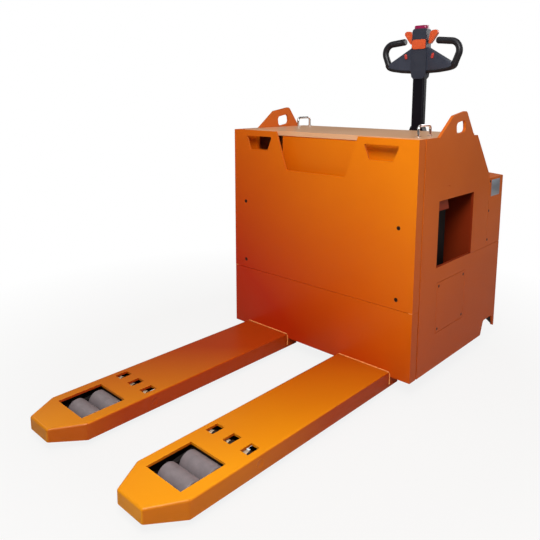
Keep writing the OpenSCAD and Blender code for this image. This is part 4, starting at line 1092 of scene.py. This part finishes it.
# %% Sleeves along the grip's route
grip_radius = (box_mm("tiller_grips")[1].y - box_mm("tiller_grips")[0].y) / 2
route = [(84, 181), (202, 169), (198, 118), (178, 68)]
bends = round_corners(route, [0, 44, 44, 0], 12)


TUBE_STEPS = 24


def tube(name, points, radii):
    """A round tube along points in metres, with one radius per point in mm."""
    shell, rings = bmesh.new(), []
    count = len(points)
    across = Vector((0, 1, 0))
    for i in range(count):
        way = (points[min(i + 1, count - 1)] - points[max(i - 1, 0)]).normalized()
        side = (across - way * across.dot(way)).normalized()
        other = way.cross(side)
        loop = []
        for k in range(TUBE_STEPS):
            a = math.tau * k / TUBE_STEPS
            spoke = side * math.cos(a) + other * math.sin(a)
            loop.append(shell.verts.new(points[i] + spoke * radii[i] * MM))
        rings.append(loop)
    for one, two in zip(rings, rings[1:]):
        for k in range(TUBE_STEPS):
            j = (k + 1) % TUBE_STEPS
            shell.faces.new([one[k], one[j], two[j], two[k]])
    shell.faces.new(rings[0])
    shell.faces.new(rings[-1])
    bmesh.ops.recalc_face_normals(shell, faces=shell.faces)
    return to_mesh(shell, name)


def spaced(points, step):
    """The same route with a point every step millimetres."""
    result, left = [points[0]], 0.0
    for one, two in zip(points, points[1:]):
        length = (two - one).length / MM
        spot = step - left
        while spot < length:
            result.append(one.lerp(two, spot / length))
            spot += step
        left = length - (spot - step)
    return result + [points[-1]]


for side, s in (("right", 1), ("left", -1)):
    line = spaced([at(s * x, mid_y, base_z + z) for x, z in bends], 4.0)
    sizes = []
    for i in range(len(line)):
        mouth = max(0.0, 1 - i / 2.0)
        lip = 1.0 if 2 <= i <= 3 else 0.0
        sizes.append(grip_radius - 0.5 - 3.2 * mouth ** 2 + 0.4 * lip)
    sleeve = tube("grip", line, sizes)
    piece("grip_sleeve_" + side, shade(sleeve, 50), "tiller_grips", grip_rubber,
          replace=(side == "right"))
    under = spaced([at(s * x, mid_y, base_z + z)
                    for x, z in round_corners(rim, [0, 14, 40, 60, 0], 8)], 4.0)
    sizes = [11 + 4 * max(0.0, 1 - i / 4) for i in range(len(under))]
    band = tube("rim", under, sizes)
    for vert in band.vertices:
        vert.co.y = mid_y * MM + FACE_Y + (vert.co.y - mid_y * MM - FACE_Y) * RIM_FLATTEN
    piece("wing_rim_" + side, shade(band, 50), "tiller_grips", grip_rubber, replace=False)

# %% Ribs round the grips
rib_tree, given = new_tree("Set out rings", [("Step", "Float"), ("Radius", "Float"),
                                             ("Bead", "Float"), ("Finish", "Material")])
paced, aimed = along_path(rib_tree, given, "Z")
hoop = put(rib_tree, "GeometryNodeCurvePrimitiveCircle", {"Resolution": 24,
                                                          "Radius": given["Radius"]})
section = put(rib_tree, "GeometryNodeCurvePrimitiveCircle", {"Resolution": 5,
                                                             "Radius": given["Bead"]})
torus = put(rib_tree, "GeometryNodeCurveToMesh", {"Curve": hoop.outputs[0],
                                                  "Profile Curve": section.outputs[0]})
threaded = put(rib_tree, "GeometryNodeInstanceOnPoints",
               {"Points": paced, "Instance": torus.outputs[0], "Rotation": aimed})
end_tree(rib_tree, threaded.outputs[0], given["Finish"])
for side, s in (("right", 1), ("left", -1)):
    line = [at(s * x, mid_y, base_z + z) for x, z in ((104, 179.0), (156, 173.7))]
    mesh = bpy.data.meshes.new("ribs")
    mesh.from_pydata(line, [(0, 1)], [])
    made = grow("grip_ribs_" + side, rib_tree, mesh,
                {"Step": 5 * MM, "Radius": (grip_radius - 0.8) * MM, "Bead": 0.7 * MM,
                 "Finish": grip_rubber}, "tiller_grips", angle=60)
    print(made.name, len(made.data.polygons), "faces")

# %% [markdown]
# ## Buttons and levers
# The cap on top stops the truck if it touches the driver, so it is big, smooth and crimson.
# The horn button and the thumb levers are glossy orange mouldings with full rounds, and the
# small red rockers raise and lower the forks.

# %% Cap, horn button and rockers
def cushion(name, outline, low, high, axis, edge, steps=5):
    """A moulded button: a slab whose rim is one generous round."""
    return shade(slab(name, outline, low, high, axis, edge, steps), 30)


def block_mesh(name, size, edge):
    """A rounded block about the origin; sizes in mm."""
    shell = bmesh.new()
    bmesh.ops.create_cube(shell, size=1.0)
    bmesh.ops.transform(shell, verts=shell.verts,
                        matrix=Matrix.Diagonal((*[s * MM for s in size], 1)))
    bmesh.ops.bevel(shell, geom=shell.edges[:], offset=edge * MM, segments=3, profile=0.5,
                    affect="EDGES")
    return to_mesh(shell, name)


low, high = box_mm("belly_button")
cap = cushion("cap", rectangle(low.x, low.y, high.x, high.y, 9), low.z, high.z, "Z", 7.5, 7)
piece("belly_cap", cap, "belly_button", crimson_plastic)
low, high = box_mm("horn_button")
horn = cushion("horn", rectangle(low.x, low.z, high.x, high.z, 7), low.y, high.y, "Y", 3.2)
piece("horn_cap", horn, "horn_button", orange_plastic)
for node, s in (("lift_button", 1), ("lower_button", -1)):
    low, high = box_mm(node)
    rocker = block_mesh(node, (13, high.y - low.y, 26), 2.4)
    middle = (low + high) / 2
    rocker.transform(Matrix.Translation(at(*middle)) @ Matrix.Rotation(s * ROCKER_TILT, 4, "Y"))
    piece(node + "_cap", shade(rocker, 30), node, red_plastic)

# %% Thumb levers
blade = [(43, 166), (54, 167), (70, 188), (88, 214), (87, 224), (78, 230), (59, 229),
         (49, 220), (43, 192)]
for side, s in (("right", 1), ("left", -1)):
    node = "thumb_lever_" + side
    outline = [(s * (x + 0.4), z) for x, z in lift(round_corners(
        blade, [2, 6, 20, 7, 4, 6, 10, 8, 10], 5))]
    thumb = cushion("thumb", outline if s > 0 else outline[::-1], mid_y - 8, mid_y + 8, "Y",
                    4.0, 4)
    piece(node + "_blade", thumb, node, orange_plastic)
    pin = lathe("pin", [(-12.5, 0), (-12.5, 4.4), (-12, 5), (12.5, 5), (12.5, 0)],
                at(s * 33, mid_y, base_z + LEVER_RISE), (s, 0, 0), 32)
    piece(node + "_pin", pin, node, dark_steel, replace=False)
print("buttons and levers made")

# %% [markdown]
# ## Panel behind the hood
# The sloped panel carries a key switch, an emergency stop and a battery gauge. The gauge is
# a glass-fronted dial with a bar of lamps, set out by Geometry Nodes; the stop is a mushroom
# on a yellow collar.

# %% Directions on the slope
key_joint = next(j for j in frame["joints"] if j["child"] == "key_switch")
out_way = Vector(key_joint["axis"])
panel_spot = Vector(key_joint["pos_m"])
STOP_X, KEY_X, GAUGE_X = -250, 250, 120


def along_axis(spot_x, distance):
    """A place on a control's axis; distance in mm out from the panel's face."""
    return Vector((spot_x * MM, panel_spot.y, panel_spot.z)) + out_way * distance * MM


mushroom = [(-26, 0), (-26, 10.6), (-24, 11), (11, 11), (11.5, 14), (12, 19), (13.4, 20),
            (18, 20), (21.5, 18.6), (23.4, 14), (24, 8), (24, 0)]
piece("stop_mushroom", lathe("stop", mushroom, along_axis(STOP_X, 0), out_way, 48),
      "emergency_stop", red_plastic)
collar = [(0.1, 11.6), (0.1, 26), (1.6, 26), (2.4, 25.2), (3.4, 15), (3.4, 11.6)]
piece("stop_collar", lathe("collar", collar, along_axis(STOP_X, 0), out_way, 48),
      "instrument_panel", yellow_plastic, replace=False)
barrel = [(-24, 0), (-24, 8.6), (-23.6, 9), (0.1, 9), (0.1, 12), (3.2, 12), (4, 11.2), (4, 0)]
piece("key_barrel", lathe("key", barrel, along_axis(KEY_X, 0), out_way, 40), "key_switch",
      zinc_steel)
bow = block_mesh("bow", (3, 20, 22), 1.2)
tilt = Vector((0, 0, 1)).rotation_difference(out_way).to_matrix().to_4x4()
bow.transform(Matrix.Translation(along_axis(KEY_X, 15)) @ tilt)
piece("key_bow", shade(bow, 30), "key_switch", black_plastic, replace=False)
bezel = [(-30, 0), (-30, 23.6), (0.05, 23.6), (0.05, 28), (3.6, 28), (5, 26.6), (5, 24), (3.2, 23),
         (3.2, 0)]
dial = lathe("dial", bezel, along_axis(GAUGE_X, 0), out_way, 56)
dial.materials.append(black_plastic)
dial.materials.append(dial_glass)
for face in dial.polygons:
    spot = face.center - along_axis(GAUGE_X, 3.2)
    if abs(spot.dot(out_way)) < 0.4 * MM and spot.length < 22.5 * MM:
        face.material_index = 1
piece("gauge_dial", dial, "battery_gauge")

# %% Lamps on the gauge
bar_tree, given = new_tree("Row of bars", [("Count", "Int"), ("Step", "Vector"),
                                           ("Bar", "Vector"), ("Finish", "Material")])
row = put(bar_tree, "GeometryNodeMeshLine", {"Count": given["Count"], "Offset": given["Step"]},
          mode="OFFSET")
bar = put(bar_tree, "GeometryNodeMeshCube", {"Size": given["Bar"]})
spots = put(bar_tree, "GeometryNodeMeshToPoints", {"Mesh": row.outputs[0]})
local = put(bar_tree, "GeometryNodeInstanceOnPoints", {"Points": spots.outputs[0],
                                                       "Instance": bar.outputs[0]})
seats = put(bar_tree, "GeometryNodeMeshToPoints", {"Mesh": given["Geometry"]})
whole = put(bar_tree, "GeometryNodeRealizeInstances", {"Geometry": local.outputs[0]})
placed = put(bar_tree, "GeometryNodeInstanceOnPoints",
             {"Points": seats.outputs[0], "Instance": whole.outputs[0],
              "Rotation": by_facing(bar_tree)})
end_tree(bar_tree, placed.outputs[0], given["Finish"])


def bars(name, start, way, count, step, size, material, node):
    """A row of bars: start in metres, step and size in mm, turned so that Z points along way."""
    mesh = facing_points(name, [(place, way) for place in start])
    made = grow(name, bar_tree, mesh, {"Count": count, "Step": Vector(step) * MM,
                                       "Bar": Vector(size) * MM, "Finish": material},
                node)
    print(name + ":", count * len(start))
    return made


bars("gauge_lamps", [along_axis(GAUGE_X - 12.5, 3.4)], out_way, 6, (5, 0, 0), (3, 9, 1),
     lamp_green, "battery_gauge")

# %% [markdown]
# ## Inside the battery bay
# The lid opens on a traction battery: a black case with twelve cells, each under its own
# filler cap, joined by lead straps. The caps and the straps are repeated pieces.

# %% Battery, caps and straps
soften("battery_pack", battery_case, 2.0)
case_low, case_high = box_mm("battery_pack")
case_mid = (case_low.y + case_high.y) / 2
cap_boxes = [(x, case_mid + y) for x in range(-350, 351, 140) for y in (-50, 50)]
filler = loft("filler", [(0.9, -0.1, None), (1.0, 0.0, None), (1.0, 0.25, None),
                         (0.9, 0.32, None), (0.45, 0.34, None), (0.4, 0.52, 6), (0.3, 0.56, 6)])
fasteners("cell_caps", [(at(x, y, case_high.z), (0, 0, 1)) for x, y in cap_boxes], filler, 15,
          yellow_plastic, "battery_pack", 13)
bars("cell_straps", [at(-350, case_mid + y, case_high.z - 10) for y in (-83, -17, 17, 83)],
     (0, 0, 1), 6, (140, 0, 0), (84, 15, 5), fin_alloy, "battery_pack")

# %% [markdown]
# ## Motors and electronics under the hood
# The drive motor stands on the gearbox and turns with the wheel. Its case has upright
# cooling ribs, which are the same rib turned round the axis. The pump motor and the motor
# controller sit against the bay's rear wall.

# %% Motor case, pump motor and controller
motor_mid = centre_of("drive_motor")
low, high = box_mm("drive_motor")
motor_r = (high.x - low.x) / 2
shoulder = high.z - 40
case = [(0, 0), (0, motor_r - 6), (14, motor_r - 6), (16, motor_r - 8),
        (shoulder - low.z - 16, motor_r - 8), (shoulder - low.z - 14, motor_r - 6),
        (shoulder - low.z, motor_r - 6), (shoulder - low.z, motor_r - 18),
        (shoulder - low.z + 34, motor_r - 18), (high.z - low.z, motor_r - 24), (high.z - low.z, 0)]
foot = Vector((motor_mid.x, motor_mid.y, low.z * MM))
piece("motor_case", lathe("motor", case, foot, (0, 0, 1), 72), "drive_motor", tube_enamel)
fins, given = new_tree("Ring of ribs", [("Count", "Int"), ("Radius", "Float"),
                                        ("Rib", "Vector"), ("Centre", "Vector"),
                                        ("Finish", "Material")])
circle = put(fins, "GeometryNodeMeshCircle", {"Vertices": given["Count"],
                                              "Radius": given["Radius"]})
spots = put(fins, "GeometryNodeMeshToPoints", {"Mesh": circle.outputs[0]})
spoke = put(fins, "GeometryNodeInputPosition")
aimed = put(fins, "FunctionNodeAlignRotationToVector", {"Vector": spoke.outputs[0]}, axis="X",
            pivot_axis="Z")
rib = put(fins, "GeometryNodeMeshCube", {"Size": given["Rib"]})
placed = put(fins, "GeometryNodeInstanceOnPoints",
             {"Points": spots.outputs[0], "Instance": rib.outputs[0],
              "Rotation": aimed.outputs[0]})
moved = put(fins, "GeometryNodeTransform", {"Geometry": placed.outputs[0],
                                            "Translation": given["Centre"]})
end_tree(fins, moved.outputs[0], given["Finish"])
rib_z = (shoulder + low.z) / 2 * MM
made = grow("motor_ribs", fins, bpy.data.meshes.new("ribs"),
            {"Count": 40, "Radius": (motor_r - 6) * MM,
             "Rib": Vector((6.5, 3, shoulder - low.z - 44)) * MM,
             "Centre": Vector((motor_mid.x, motor_mid.y, rib_z)), "Finish": tube_enamel},
            "drive_motor")
print(made.name, len(made.data.polygons), "faces")
low, high = box_mm("pump_motor")
radius = (high.x - low.x) / 2
pump = [(0, 0), (0, radius), (6, radius), (8, radius - 2), (28, radius - 2), (30, radius - 4),
        (60, radius - 4), (62, radius - 5), (150, radius - 5), (152, radius - 4),
        (high.z - low.z - 10, radius - 4), (high.z - low.z - 9, radius - 18),
        (high.z - low.z, radius - 20), (high.z - low.z, 0)]
pump_foot = Vector((centre_of("pump_motor").x, centre_of("pump_motor").y, low.z * MM))
piece("pump_case", lathe("pump", pump, pump_foot, (0, 0, 1)), "pump_motor", tube_enamel)
soften("motor_controller", fin_alloy, 0.8)
print("drive and hydraulics made")

# %% [markdown]
# ## Studio
# A pale floor, a pale surround and five soft lights. The key light is the smallest: it stands
# near the fork tips on the right, so the paint is bright there and falls off to the far
# corner. Floor and surround look white but give off little light, so that the paint keeps
# its depth, and the floor shades to pure white away from the truck.

# %% Floor and surround
CLEAR_AT, WHITE_AT = 0.9, 2.0
floor_shell = bmesh.new()
bmesh.ops.create_grid(floor_shell, x_segments=1, y_segments=1, size=30)
floor = bpy.data.objects.new("floor", to_mesh(floor_shell, "floor"))
floor.location.z = cad_box[0].z - 0.0005
scene.collection.objects.link(floor)
paper = finish("floor_paper", (0.52, 0.48, 0.43), (0.50, 0.46, 0.41), 0.8, patch=0.4, grain=60,
               relief=0.02)
sheet = paper.node_tree
ray = put(sheet, "ShaderNodeLightPath")
place = put(sheet, "ShaderNodeTexCoord").outputs["Object"]
reach = put(sheet, "ShaderNodeVectorMath", {0: place}, operation="LENGTH")
glow = put(sheet, "ShaderNodeMapRange", {"Value": reach.outputs["Value"], "From Min": CLEAR_AT,
                                         "From Max": WHITE_AT, "To Min": 0.86})
share = put(sheet, "ShaderNodeMath", {0: glow.outputs[0], 1: ray.outputs["Is Camera Ray"]},
            operation="MULTIPLY")
lit = put(sheet, "ShaderNodeEmission", {"Color": (1, 1, 1, 1), "Strength": 1.0})
both = put(sheet, "ShaderNodeMixShader", {0: share.outputs[0],
                                          1: sheet.nodes["Principled BSDF"].outputs[0],
                                          2: lit.outputs[0]})
sheet.links.new(both.outputs[0], sheet.nodes["Material Output"].inputs["Surface"])
floor.data.materials.append(paper)
world = bpy.data.worlds.new("studio")
scene.world = world
world.use_nodes = True
sky = world.node_tree
sky.nodes.clear()
ray = put(sky, "ShaderNodeLightPath")
seen = put(sky, "ShaderNodeBackground", {"Color": (1, 1, 1, 1), "Strength": 1.0})
cast = put(sky, "ShaderNodeBackground", {"Color": (1, 0.94, 0.84, 1), "Strength": 0.18})
mixed = put(sky, "ShaderNodeMixShader", {0: ray.outputs["Is Camera Ray"], 1: cast.outputs[0],
                                         2: seen.outputs[0]})
put(sky, "ShaderNodeOutputWorld", {"Surface": mixed.outputs[0]})

# %% Lights
def softbox(name, place, aim, size, power):
    """A square area light that looks at a point."""
    lamp = bpy.data.lights.new(name, "AREA")
    lamp.shape, lamp.size, lamp.energy = "SQUARE", size, power
    holder = bpy.data.objects.new(name, lamp)
    holder.location = place
    holder.rotation_euler = (Vector(aim) - Vector(place)).to_track_quat("-Z", "Y").to_euler()
    scene.collection.objects.link(holder)


softbox("key", (1.25, -1.6, 2.3), (0, 0.0, 0.45), 1.0, 60)
softbox("overhead", (0.2, -0.6, 4.6), (0, -0.2, 0), 3.2, 30)
softbox("flank", (4.6, 0.6, 1.8), (0.4, 0.3, 0.6), 2.4, 12)
softbox("rear", (1.0, 4.6, 2.4), (0, 0.5, 0.6), 2.4, 60)
softbox("left flank", (-4.6, -0.6, 2.2), (-0.4, 0.1, 0.6), 2.4, 20)

# %% [markdown]
# ## Camera
# A nearly normal lens stands to the right of the fork tips, a little above the deck. It looks
# down by a few degrees and is also shifted down.

# %% Camera
camera = bpy.data.cameras.new("camera")
camera.lens, camera.sensor_width, camera.shift_y = 38.73, 36.0, -0.148
turn, rise = math.radians(43.35), math.radians(9.40)
back = Vector((math.sin(turn) * math.cos(rise), -math.cos(turn) * math.cos(rise),
               math.sin(rise)))
stand = bpy.data.objects.new("camera", camera)
stand.location = (1.4626, -1.7078, 1.1249)
stand.rotation_euler = (-back).to_track_quat("-Z", "Y").to_euler()
scene.collection.objects.link(stand)
scene.camera = stand
scene.view_settings.view_transform = "Standard"

# %% Sizes and the end
print("CAD box", [tuple(round(v, 3) for v in c) for c in cad_box])
